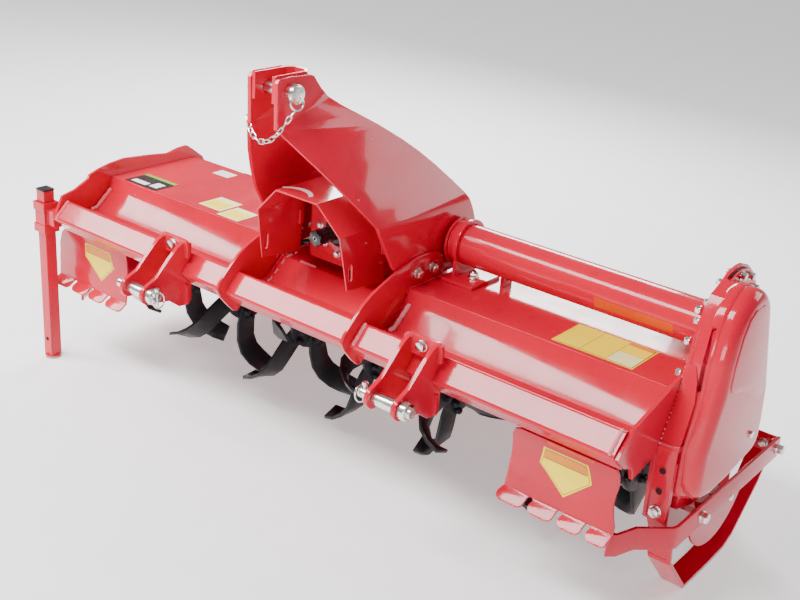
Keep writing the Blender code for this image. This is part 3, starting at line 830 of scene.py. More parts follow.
@dataclass(frozen=True)
class Turned:
    """A turned or many-sided part on an axis.

    Args:
        start: its first end, measured from the axis's origin.
        end: its last end.
        radius: radius to its corners.
        sides: how many sides it is drawn with.
        edge: round on its rims.
        tip: radius at its last end, if it tapers.
    """

    start: float
    end: float
    radius: float
    sides: int = 32
    edge: float = 0.0
    tip: float | None = None

    def fit(self, piece: Piece, origin: Point, finish: Finish = ZINC, axis: Vector = ACROSS) -> None:
        """Add the part to a piece, on the axis through origin."""
        start, end = (Vector(origin) + axis * at for at in (self.start, self.end))
        piece.add(Solids.bar(start, end, self.radius, self.sides, self.tip, self.edge), finish)


@dataclass(frozen=True)
class LinchPin:
    """A linch pin through a bar's end, with its spring ring folded over.

    Args:
        ring: radius of the ring.
        wire: radius of the ring's wire.
        shank: the pin itself.
        head: the pin's head.
    """

    ring: float = 0.0135
    wire: float = 0.0017
    shank: Turned = Turned(-0.020, 0.018, 0.0036, 16, 0.0008)
    head: Turned = Turned(0.016, 0.024, 0.0062, 20, 0.0015)

    def fit(self, piece: Piece, end: Point, outward: float, droop: float = 0.006) -> None:
        """Fit the pin through a bar along X, near its end.

        Args:
            piece: the piece that it belongs to.
            end: point on the bar's axis where the pin passes through.
            outward: 1 or -1, the way along X to the bar's free end.
            droop: how far the ring's middle hangs below the bar's axis.
        """
        x, y, z = end
        self.shank.fit(piece, end, axis=UP)
        self.head.fit(piece, end, axis=UP)
        centre = (x + outward * 0.007, y - 0.001, z - droop)
        piece.add(Solids.ring(centre, (1.0, 0.10 * outward, 0.16), self.ring, self.wire, 36), ZINC)


@dataclass(frozen=True)
class Chain:
    """A light chain of round-ended links hung between two points.

    Args:
        wire: radius of the wire.
        length: length of a link, between the middles of its wire.
        width: width of a link, in the same way.
    """

    wire: float = 0.0013
    length: float = 0.0165
    width: float = 0.0088

    def link(self) -> list[Vector]:
        """One link.

        Returns:
            The path of its wire, along X, in the XY plane.
        """
        half = self.width / 2
        right = [Vector((*spot, 0)) for spot in Solids.arc(self.length / 2 - half, 0, half, -90, 90, 6)]
        return right + [Vector((-p.x, -p.y, 0)) for p in right]

    def hang(self, piece: Piece, path: Sequence[Point]) -> None:
        """Thread links along a path, each turned about a quarter from the last.

        Args:
            piece: the piece that they belong to.
            path: the line that they follow.
        """
        spots = [Vector(p) for p in path]
        lengths = [0.0]
        for start, end in zip(spots, spots[1:]):
            lengths.append(lengths[-1] + (end - start).length)
        pitch = self.length - 2.6 * self.wire
        for index in range(int(lengths[-1] / pitch)):
            at = pitch * (index + 0.5)
            leg = max(i for i, total in enumerate(lengths[:-1]) if total <= at)
            start, end = spots[leg], spots[leg + 1]
            middle = start.lerp(end, (at - lengths[leg]) / (end - start).length)
            turn = (end - start).to_track_quat('X', 'Z').to_matrix().to_4x4()
            twist = math.pi / 2 * (index % 2) + 0.5 + 0.3 * math.sin(index * 2.4)
            place = Matrix.Translation(middle) @ turn @ Matrix.Rotation(twist, 4, 'X')
            piece.add(Solids.wire([place @ p for p in self.link()], self.wire, True), ZINC)


@dataclass(frozen=True)
class Patch:
    """A rectangular label on the deck.

    Args:
        x0: lowest x.
        x1: highest x.
        y0: front edge.
        y1: rear edge.
        finish: the label's finish.
        layer: how many labels lie under it.
    """

    x0: float
    x1: float
    y0: float
    y1: float
    finish: Finish
    layer: int = 0

    def lay(self, piece: Piece, level: float) -> None:
        """Lay the label on a level sheet.

        Args:
            piece: the piece that it belongs to.
            level: the sheet's height.
        """
        z = level + 0.0003 + 0.0004 * self.layer
        outline = [(self.x0, self.y0), (self.x1, self.y0), (self.x1, self.y1), (self.x0, self.y1)]
        piece.add(Solids.plate(outline, Facing.Z, z, z + 0.0004), self.finish)


# ---------------------------------------------------------------------------------------- sub-assemblies
@dataclass
class FrameDress:
    """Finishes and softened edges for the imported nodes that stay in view."""

    edge: float = 0.0009
    gap: float = 0.00002
    bend: float = 32.0
    blade_bend: float = 60.0
    rubbed: tuple[str, ...] = ("skid_right", "skid_left", "stand_leg", "rear_gate")
    finishes: dict[str, Finish] = field(default_factory=lambda: {
        Slot.RED.value: RED, Slot.BLACK.value: BLACK, Slot.STEEL.value: ZINC})

    def build(self) -> None:
        """Dress every node: its finish, smooth shading and a small round on its edges."""
        slots = {part["node"]: part["material_slot"] for part in frame["record"]["subparts"]}
        for name, node in frame["nodes"].items():
            blade = name.startswith("tine_")
            finish = RED_RUBBED if name in self.rubbed else self.finishes[slots[name]]
            node.data.materials.clear()
            node.data.materials.append(finish.material())
            node.data.shade_smooth()
            node.modifiers.new("Weld", 'WELD').merge_threshold = self.gap
            soft = node.modifiers.new("Edges", 'BEVEL')
            soft.width = self.edge
            soft.segments = 2
            soft.limit_method = 'ANGLE'
            soft.angle_limit = math.radians(self.blade_bend if blade else self.bend)
            soft.use_clamp_overlap = False
            soft.material = -1
            if not blade:
                node.modifiers.new("Normals", 'WEIGHTED_NORMAL').weight = 80
        log.info("frame: %d nodes dressed", len(frame["nodes"]))


@dataclass
class DriveLine:
    """The splined input stub and the gearbox's covers, plugs and bolts."""

    axis_z: float = 0.149
    end_y: float = 0.082
    root: float = 0.0156
    tip: float = 0.0176
    keys: int = 6
    key_half: float = 0.0044
    key_runs: tuple[Point, ...] = ((0.0835, 0.108), (0.116, 0.144))
    core: Turned = Turned(0.0825, 0.1576, 0.0156, 40, 0.0012)
    collar: Turned = Turned(0.142, 0.1576, 0.026, 40, 0.002)
    centre_hole: Turned = Turned(0.082, 0.084, 0.0034, 20)
    cover: Turned = Turned(0.1585, 0.1725, 0.067, 48, 0.002)
    rear_cover: Turned = Turned(0.4395, 0.447, 0.060, 48, 0.002)
    filler: Turned = Turned(0.0, 0.018, 0.013, 6, 0.0015)
    breather: Turned = Turned(0.0, 0.012, 0.010, 24, 0.001)
    breather_cap: Turned = Turned(0.012, 0.022, 0.013, 24, 0.003)
    filler_at: Point = (0.045, 0.330, 0.234)
    breather_at: Point = (-0.045, 0.380, 0.234)
    ribs: tuple[float, ...] = (-0.060, 0.0, 0.060)
    bolt_circle: float = 0.0535
    rear_circle: float = 0.049

    def build(self) -> None:
        """Build the stub, then the gearbox's fittings."""
        self._stub()
        self._gearbox()

    def _stub(self) -> None:
        """The six-key stub with its locking groove, chamfered end and collar."""
        stub = Piece("splined_stub", Body.INPUT)
        z, origin = self.axis_z, (0, 0, self.axis_z)
        self.core.fit(stub, origin, OXIDE, BACK)
        for start, end in self.key_runs:
            for index in range(self.keys):
                key = Solids.box((-self.key_half, start, z + self.root - 0.003),
                                 (self.key_half, end, z + self.tip), 0.0010)
                bmesh.ops.rotate(key, cent=(0, 0, z), verts=key.verts,
                                 matrix=Matrix.Rotation(math.tau * index / self.keys, 3, 'Y'))
                stub.add(key, OXIDE)
        self.collar.fit(stub, origin, OXIDE, BACK)
        stub.add(Solids.ring((0, self.end_y + 0.0006, z), BACK, 0.0042, 0.0008, 20), ZINC)
        # The centre hole is a thin disc of painted shade.
        self.centre_hole.fit(stub, origin, PAINTED_SHADE_HOLE, BACK)
        stub.done("pto_shaft")

    def _gearbox(self) -> None:
        """Both covers with their bolts, the seal, the filler, the breather and the ribs."""
        box = Piece("gearbox_fittings")
        z, origin = self.axis_z, (0, 0, self.axis_z)
        self.cover.fit(box, origin, RED, BACK)
        box.add(Solids.ring((0, 0.1578, z), BACK, 0.033, 0.0035, 36), RUBBER)
        Bolt(0.013, 0.0065).circle(box, (0, 0.1587, z), FRONT, self.bolt_circle, range(0, 360, 45))
        self.filler.fit(box, self.filler_at, axis=UP)
        self.breather.fit(box, self.breather_at, axis=UP)
        self.breather_cap.fit(box, self.breather_at, RUBBER, UP)
        for x in self.ribs:
            box.add(Solids.box((x - 0.004, 0.200, 0.235), (x + 0.004, 0.425, 0.243), 0.002), RED)
        self.rear_cover.fit(box, origin, RED, BACK)
        Bolt(0.013, 0.0065).circle(box, (0, 0.447, z), BACK, self.rear_circle, range(30, 360, 60))
        box.done()


@dataclass
class Mast:
    """The flared plates, the top-link pin with its rings and chain, the bolts and the shield's marks."""

    pin_y: float = -0.048
    pin_z: float = 0.490
    chain_low: float = 0.394
    chain_bow: float = 0.030
    top_x: float = 0.036
    low_x: float = 0.173
    low_z: float = 0.222
    fold_z: float = 0.4505
    fold_slope: float = 0.3556
    inner_x: float = 0.1678
    outer_x: float = 0.1867
    head: Turned = Turned(0.0415, 0.0610, 0.0192, 40, 0.004)
    spacer: Turned = Turned(-0.024, 0.024, 0.0128, 32, 0.001)
    stud: Turned = Turned(-0.040, -0.050, 0.0045, 16, 0.001)
    stud_z: float = 0.442
    outline: tuple[Point, ...] = (
        (-0.085, 0.512), (-0.080, 0.519), (-0.050, 0.521), (0.006, 0.519), (0.0162, 0.5145), (0.026, 0.502),
        (0.0384, 0.4879), (0.0607, 0.4670), (0.085, 0.4500), (0.115, 0.4330), (0.1635, 0.4050), (0.2175, 0.3700),
        (0.256, 0.3420), (0.2964, 0.3090), (0.345, 0.2650), (0.376, 0.2360), (0.390, 0.2190), (0.406, 0.1920),
        (0.420, 0.1600), (0.431, 0.1200), (0.440, 0.0680), (0.300, 0.0660), (0.212, 0.0740), (0.196, 0.0810),
        (0.140, 0.1130), (0.131, 0.1240), (0.098, 0.1800), (0.073, 0.2240), (-0.083, 0.4210))

    def build(self) -> None:
        """Build the plates, the pin's fittings, the chain, the bolts, the welds and the marks."""
        for side in Side:
            plate = Piece(side.named("flared_plate_"))
            plate.add(self._flared(side), RED)
            plate.done(side.named("mast_plate_"))
        self._pin()
        self._chain()
        self._bolts()
        self._welds()
        self._marks()

    def _flared(self, side: Side) -> Solid:
        """One mast plate, spread out between its slanting upper fold and its level lower fold.

        Args:
            side: the side that it stands on.

        Returns:
            The plate.
        """
        plate = Solids.plate(self.outline, Facing.X, -0.005, 0.005, 0.0012)
        Solids.cut(plate, (0, 0, self.fold_z), (0, -self.fold_slope, 1))
        for z in (self.low_z, 0.28, 0.34, 0.40):
            Solids.cut(plate, (0, 0, z), UP)
        for vert in plate.verts:
            fold = self.fold_z + self.fold_slope * vert.co.y
            share = min(1.0, max(0.0, (fold - vert.co.z) / (fold - self.low_z)))
            vert.co.x += side.value * (self.top_x + (self.low_x - self.top_x) * share)
        bmesh.ops.recalc_face_normals(plate, faces=plate.faces[:])
        return plate

    def _pin(self) -> None:
        """The top-link pin's head, ring, spacer and linch pin."""
        pin = Piece("top_pin_fittings")
        y, z = self.pin_y, self.pin_z
        self.head.fit(pin, (0, y, z))
        pin.add(Solids.ring((0.062, y - 0.006, z - 0.014), (1.0, -0.25, 0.30), 0.0150, 0.0016, 36), ZINC)
        self.spacer.fit(pin, (0, y, z))
        LinchPin(0.0150, 0.0014).fit(pin, (-0.052, y, z), -1.0, 0.010)
        pin.done()

    def _chain(self) -> None:
        """The chain from the pin's ring to the stud on the left of the strap."""
        chain = Piece("pin_chain")
        y, z = self.pin_y, self.stud_z
        Chain().hang(chain, self._hanging((0.063, y - 0.012, self.pin_z - 0.030), (-0.052, y - 0.014, z)))
        chain.add(Solids.ring((-0.0525, y - 0.012, z - 0.004), (0.1, 1.0, 0.2), 0.0055, 0.0012, 24), ZINC)
        self.stud.fit(chain, (0, y - 0.006, z))
        chain.done()

    def _hanging(self, start: Point, end: Point, steps: int = 32) -> list[Vector]:
        """A slack line between two points, its lowest part at chain_low.

        Args:
            start: the first point.
            end: the last point.
            steps: how many steps it is drawn in.

        Returns:
            The line's points.
        """
        start, end = Vector(start), Vector(end)
        spots = []
        for t in (i / steps for i in range(steps + 1)):
            spot, slack = start.lerp(end, t), 4 * t * (1 - t)
            spots.append(Vector((spot.x, spot.y - self.chain_bow * slack ** 0.5,
                                 spot.z - (spot.z - self.chain_low) * slack ** 0.80)))
        return spots

    def _bolts(self) -> None:
        """The bolts through the mast plates and the centre plates."""
        bolts = Piece("mast_bolts")
        for side in (-1, 1):
            for y in (0.205, 0.256):
                Bolt(0.019, 0.0095).fit(bolts, (side * self.outer_x, y, 0.095), ACROSS * side)
                Bolt(0.019, 0.0095, 0.006).fit(bolts, (side * self.inner_x, y, 0.095), ACROSS * -side)
            Bolt(0.013, 0.006).fit(bolts, (side * self.inner_x, 0.164, 0.148), ACROSS * -side)
        bolts.done()

    def _welds(self) -> None:
        """The welds along the strap and up the centre plates."""
        welds = Piece("mast_welds")
        for side in (-1, 1):
            for z, end in ((0.4700, 0.004), (0.5232, 0.002)):
                Weld(0.0022).lay(welds, Solids.at_x(side * 0.0310, ((-0.080, z), (end, z))))
            foot = ((0.138, 0.060), (0.176, 0.0715), (0.232, 0.097), (0.284, 0.124))
            Weld(0.0030).lay(welds, Solids.at_x(side * 0.1788, foot))
        welds.done()

    def _marks(self) -> None:
        """The white crescent on the shield and the rims of its slots."""
        marks = Piece("shield_marks")
        outer = Solids.arc(-0.018, 0.020, 0.048, 152, 32, 18)
        inner = Solids.arc(-0.020, 0.006, 0.050, 40, 138, 18)
        marks.add(Solids.plate(outer + inner, Facing.Z, 0.2572, 0.2577), WHITE)
        rim = Solids.arc(0.0600, 0.128, 0.0058, 0, 180, 8) + Solids.arc(0.0600, 0.101, 0.0058, 180, 360, 8)
        for x in (-0.1245, 0.1245):
            marks.add(Solids.wire([(x * (1 - 0.45 * (z - 0.1)), y, z) for y, z in rim], 0.0009, True), RED)
        marks.done()


@dataclass
class Hitch:
    """The fittings of the two lower-link clevises."""

    spread: float = 0.362
    pin_y: float = -0.096
    pin_z: float = -0.035
    plate_y: float = 0.0055
    cap: Turned = Turned(0.0385, 0.0560, 0.0186, 40, 0.0035)
    boss: Turned = Turned(0.054, 0.0572, 0.0110, 32, 0.0012)
    sleeve: Turned = Turned(-0.0275, 0.0275, 0.0142, 36, 0.0012)
    washer: Turned = Turned(-0.0415, -0.0388, 0.0180, 32, 0.0008)
    ears: tuple[float, ...] = (-0.0385, -0.0275, 0.0275, 0.0385)

    def build(self) -> None:
        """Build the fittings of both clevises."""
        for side in Side:
            self._iron(side)
            self._welds(side)

    def _iron(self, side: Side) -> None:
        """One clevis's bolts, pin cap, sleeve, washer and linch pin.

        Args:
            side: the clevis's side.
        """
        x, y, z = side.value * self.spread, self.pin_y, self.pin_z
        iron = Piece(side.named("clevis_fittings_"))
        Bolt(0.019, 0.010).fit(iron, (x, self.plate_y, 0.052), FRONT)
        # Both lower bolts are in one spot, in the middle of the plate.
        for _ in range(2):
            Bolt(0.013, 0.007).fit(iron, (x, self.plate_y, -0.066), FRONT)
        for part in (self.cap, self.boss, self.sleeve, self.washer):
            part.fit(iron, (x, y, z))
        pin_x = x - 0.054 if side is Side.RIGHT else x + 0.062
        LinchPin(0.0172, 0.0017).fit(iron, (pin_x, y, z), -side.value, 0.003)
        iron.done()

    def _welds(self, side: Side) -> None:
        """The welds of one clevis's ears to their back plate.

        Args:
            side: the clevis's side.
        """
        welds = Piece(side.named("clevis_welds_"))
        for ear in self.ears:
            for low, high in ((0.030, 0.060), (-0.084, -0.045)):
                rows = ((self.plate_y, low), (self.plate_y, high))
                Weld(0.0024).lay(welds, Solids.at_x(side.value * self.spread + ear, rows))
        welds.done()


@dataclass
class Deck:
    """The arched centre plates, the cross tube's fittings, the deck's welds and its labels."""

    level: float = 0.067
    tube_y: float = 0.345
    tube_z: float = 0.136
    tube_r: float = 0.046
    plate_x: tuple[float, float] = (0.1787, 0.1863)
    flange: float = 0.0555
    lug_y: float = 0.355
    lug_z: float = 0.088
    lug_r: float = 0.018
    lug_hole: Turned = Turned(0.3112, 0.3208, 0.0085, 24)
    strip_x: tuple[float, float] = (0.560, 0.735)
    strip_half: float = 15.0
    step: tuple[Point, ...] = ((0.078, -0.0065), (0.122, -0.0065), (0.169, 0.0345), (0.180, 0.0675))
    centre_plate: tuple[Point, ...] = (
        (0.034, -0.0630), (0.022, -0.0600), (0.004, -0.0420), (-0.019, -0.0150), (-0.0285, 0.004),
        (-0.022, 0.018), (-0.008, 0.0320), (0.012, 0.051), (0.034, 0.0710), (0.0615, 0.0875), (0.090, 0.0990),
        (0.122, 0.1110), (0.157, 0.1215), (0.198, 0.1295), (0.235, 0.1315), (0.262, 0.1300), (0.281, 0.1250),
        (0.292, 0.1140), (0.298, 0.0980), (0.3000, 0.0600), (0.170, 0.0560), (0.120, -0.012), (0.076, -0.016),
        (0.050, -0.0500))
    label_right: tuple[Patch, ...] = (
        Patch(0.536, 0.716, 0.192, 0.300, YELLOW), Patch(0.539, 0.713, 0.195, 0.297, INK, 1),
        Patch(0.540, 0.5975, 0.196, 0.296, YELLOW, 2), Patch(0.5985, 0.656, 0.196, 0.296, YELLOW, 2),
        Patch(0.657, 0.712, 0.196, 0.246, CREAM, 2), Patch(0.657, 0.712, 0.247, 0.296, YELLOW, 2),
        Patch(0.657, 0.712, 0.284, 0.296, ORANGE, 3))
    labels_left: tuple[Patch, ...] = (
        Patch(-0.757, -0.640, 0.186, 0.262, INK), Patch(-0.757, -0.640, 0.250, 0.262, GREEN, 1),
        Patch(-0.745, -0.690, 0.196, 0.214, WHITE, 1), Patch(-0.680, -0.652, 0.200, 0.232, WHITE, 1),
        Patch(-0.500, -0.424, 0.206, 0.282, CREAM), Patch(-0.416, -0.345, 0.188, 0.258, CREAM),
        Patch(-0.494, -0.434, 0.212, 0.258, YELLOW, 1), Patch(-0.410, -0.350, 0.194, 0.240, YELLOW, 1),
        Patch(-0.662, -0.604, 0.400, 0.436, WHITE))

    def build(self) -> None:
        """Build the centre plates, the tube's fittings, the seams, the labels and the tube's strip."""
        for side in Side:
            plate = Piece(side.named("arched_plate_"))
            low, high = sorted(side.value * x for x in self.plate_x)
            plate.add(Solids.plate(self.centre_plate, Facing.X, low, high, 0.0012), RED)
            plate.done(side.named("centre_plate_"))
        self._tube()
        self._seams()
        for name, patches in (("deck_label_right", self.label_right), ("deck_labels_left", self.labels_left)):
            label = Piece(name)
            for patch in patches:
                patch.lay(label, self.level)
            label.done()
        self._strip()

    def _tube(self) -> None:
        """Bolts of the saddle and of the tube's outer flange, and the drilled lug on the deck."""
        iron = Piece("tube_fittings")
        Bolt(0.019, 0.010, 0.004).fit(iron, (0.254, 0.318, 0.0755), UP)
        Bolt(0.013, 0.008).circle(iron, (0.7875, self.tube_y, self.tube_z), -ACROSS, self.flange,
                                  (155, 200, 245, 20, 65, 110, 290, 335))
        y, z, r = self.lug_y, self.lug_z, self.lug_r
        lug = Solids.arc(y, z, r, 0, 180, 12) + [(y - r, self.level), (y + r, self.level)]
        iron.add(Solids.plate(lug, Facing.X, 0.312, 0.320, 0.001), RED)
        # The lug's hole is a plug of painted shade.
        self.lug_hole.fit(iron, (0, y, z), PAINTED_SHADE_HOLE)
        iron.done()

    def _seams(self) -> None:
        """The welds where the sheets meet each other and the plates."""
        seams = Piece("deck_welds")
        at = Solids.at_x
        # Beads laid with the pale bead finish carry a painted glint in their colour.
        for x in (0.2000, -0.2000, 0.7900, -0.7920):
            Weld(0.0062, 0.0056).lay(seams, at(x, ((0.108, -0.0045), (0.122, -0.0035), (0.169, 0.0370))), PAINTED_GLINT_BEAD)
        for x in (0.7900, -0.7900, 0.1940, -0.1940):
            Weld(0.0052, 0.0050).lay(seams, at(x, ((-0.002, -0.0045), (0.035, 0.0320))), PAINTED_GLINT_BEAD)
        Weld(0.0034).lay(seams, [(-0.124, 0.176, 0.0360), (-0.078, 0.176, 0.0360)], PAINTED_GLINT_BEAD)
        for side in (-1, 1):
            rows = ((0.090, -0.0080), (0.122, -0.0080), (0.175, 0.0350), (0.210, 0.0370))
            Weld(0.0030).lay(seams, at(side * 0.166, rows), PAINTED_GLINT_BEAD, 0.010, 0.016)
            Weld(0.0024).lay(seams, at(side * 0.1868, (*self.step, (0.300, self.level))))
            rows = ((0.078, -0.0085), (0.122, -0.0085), (0.174, 0.0345), (0.300, 0.0430))
            Weld(0.0042).lay(seams, at(side * 0.1782, rows))
            Weld(0.0024).lay(seams, at(side * 0.7990, (*self.step, (0.455, self.level))))
        for x0, x1 in ((-0.798, -0.410), (-0.312, -0.19), (0.19, 0.312), (0.412, 0.798), (-0.176, 0.176)):
            Weld(0.0016).lay(seams, [(x0, 0.0735, -0.0050), (x1, 0.0735, -0.0050)], RED, 0.05, 0.04)
        seams.done()

    def _strip(self) -> None:
        """The amber strip along the front of the tube."""
        strip = Piece("tube_strip")
        film = bmesh.new()
        start, end = self.strip_x
        turn = math.radians(196 - self.strip_half)
        r = self.tube_r + 0.0004
        spot = Vector((start, self.tube_y + r * math.cos(turn), self.tube_z + r * math.sin(turn)))
        first = bmesh.ops.create_vert(film, co=spot)["vert"]
        last = bmesh.ops.extrude_vert_indiv(film, verts=first)["verts"]
        bmesh.ops.translate(film, vec=(end - start, 0, 0), verts=last)
        Solids.spin(film, (0, self.tube_y, self.tube_z), ACROSS, math.radians(self.strip_half * 2), 10)
        strip.add(film, AMBER)
        strip.done()


@dataclass
class SideDrive:
    """The side drive: its pressed cover, flange bolts, the drilled band and the bearing's lug."""

    rim: float = 0.826
    face: float = 0.890
    inner_x: float = 0.7995
    outer_x: float = 0.8167
    band_x: float = 0.826
    seam_x: float = 0.8085
    hub_y: float = 0.384
    hub_z: float = 0.152
    hub_circle: float = 0.086
    hub_angles: tuple[float, ...] = (118, 90, 60, 28, 2)
    drain: Turned = Turned(0.887, 0.894, 0.008, 6, 0.001)
    hole: Turned = Turned(0.1560, 0.1574, 0.0070, 28)
    lug_plug: Turned = Turned(0.8500, 0.8672, 0.0085, 6, 0.001)
    raised: tuple[Point, ...] = (
        (0.216, 0.062), (0.220, 0.118), (0.236, 0.183), (0.252, 0.209), (0.271, 0.229), (0.292, 0.241),
        (0.315, 0.246), (0.337, 0.243), (0.357, 0.235), (0.374, 0.222), (0.386, 0.207), (0.410, 0.144),
        (0.458, 0.011), (0.470, -0.070), (0.470, -0.112), (0.460, -0.132), (0.438, -0.146), (0.330, -0.162),
        (0.250, -0.166), (0.216, -0.158), (0.192, -0.140), (0.179, -0.118), (0.178, -0.046))
    upper: tuple[Point, ...] = (
        (0.243, 0.076), (0.245, 0.116), (0.258, 0.173), (0.274, 0.203), (0.294, 0.216), (0.316, 0.220),
        (0.338, 0.216), (0.357, 0.200), (0.386, 0.138), (0.424, 0.032), (0.422, 0.008), (0.406, -0.004),
        (0.384, 0.000), (0.342, 0.024), (0.306, 0.046), (0.268, 0.056), (0.250, 0.062))
    outline: tuple[Point, ...] = (
        (0.214, 0.062), (0.218, 0.118), (0.234, 0.184), (0.250, 0.211), (0.269, 0.231), (0.291, 0.243),
        (0.315, 0.248), (0.338, 0.245), (0.359, 0.237), (0.376, 0.224), (0.388, 0.209), (0.412, 0.146),
        (0.460, 0.011), (0.474, -0.090), (0.480, -0.176), (0.466, -0.192), (0.270, -0.196), (0.225, -0.170),
        (0.184, -0.148), (0.176, -0.136), (0.176, -0.044))

    def build(self) -> None:
        """Build the cover, the bolts and the band."""
        self._cover()
        self._bolts()
        self._band()

    def _cover(self) -> None:
        """The cover: its rim, the raised face, the second step and the drain plug."""
        cover = Piece("pressed_cover")
        cover.add(Solids.plate(self.outline, Facing.X, self.rim, self.rim + 0.034, 0.012, 5), RED)
        cover.add(Solids.plate(self.raised, Facing.X, self.rim + 0.002, self.face - 0.001, 0.0250, 8), RED)
        cover.add(Solids.plate(self.upper, Facing.X, self.face - 0.010, self.face + 0.0012, 0.0045, 4), RED)
        self.drain.fit(cover, (0, 0.405, -0.085))
        cover.done("side_cover")

    def _bolts(self) -> None:
        """Bolts through the two flanges, around the cover, and the tube's gasket."""
        bolts = Piece("drive_bolts")
        for y, z in ((0.224, 0.080), (0.238, 0.140), (0.262, 0.196)):
            Bolt(0.014, 0.008).fit(bolts, (self.inner_x, y, z), -ACROSS)
        y, z = self.hub_y, self.hub_z
        Bolt(0.014, 0.008).circle(bolts, (self.outer_x, y, z), ACROSS, self.hub_circle, self.hub_angles)
        Bolt(0.014, 0.008, 0.004).circle(bolts, (self.inner_x, y, z), -ACROSS, self.hub_circle, self.hub_angles)
        for y, z in ((0.478, -0.070), (0.480, -0.140)):
            Bolt(0.014, 0.008, 0.004).fit(bolts, (self.inner_x, y, z), -ACROSS)
        bolts.add(Solids.ring((0.8088, self.hub_y, self.hub_z), ACROSS, 0.097, 0.0016, 48), RUBBER)
        bolts.done()

    def _band(self) -> None:
        """The band's bolt, its spare holes and its welds, and the bearing lug's plug and bolts."""
        band = Piece("band_fittings")
        x, seam = self.band_x, self.seam_x
        Bolt(0.019, 0.009).fit(band, (x, 0.1568, -0.178), FRONT)
        # The spare holes are thin discs of painted shade inside red rims.
        for z in (-0.090, -0.134):
            self.hole.fit(band, (x, 0, z), PAINTED_SHADE_HOLE, BACK)
            band.add(Solids.ring((x, 0.1566, z), BACK, 0.0072, 0.0007, 28), RED)
        for z in (-0.112, -0.178):
            Bolt(0.019, 0.008, 0.005).fit(band, (x, 0.1720, z), BACK)
        slant = ((0.226, 0.118), (0.213, 0.078), (0.203, 0.040), (0.158, -0.045))
        # This bead is pale pink for a painted glint.
        Weld(0.0030).lay(band, Solids.at_x(seam, slant), PAINTED_GLINT_BEAD, 0.0047, 0.0047)
        Weld(0.0024).lay(band, Solids.at_x(seam, ((0.158, -0.045), (0.157, -0.195))))
        Weld(0.0027).lay(band, Solids.at_x(0.800, ((0.200, 0.062), (0.160, -0.040))), RED, 0.004, 0.012)
        self.lug_plug.fit(band, (0, 0.352, -0.224))
        for y in (0.308, 0.418):
            Bolt(0.014, 0.007).fit(band, (0.8671, y, -0.245), ACROSS)
        band.done()


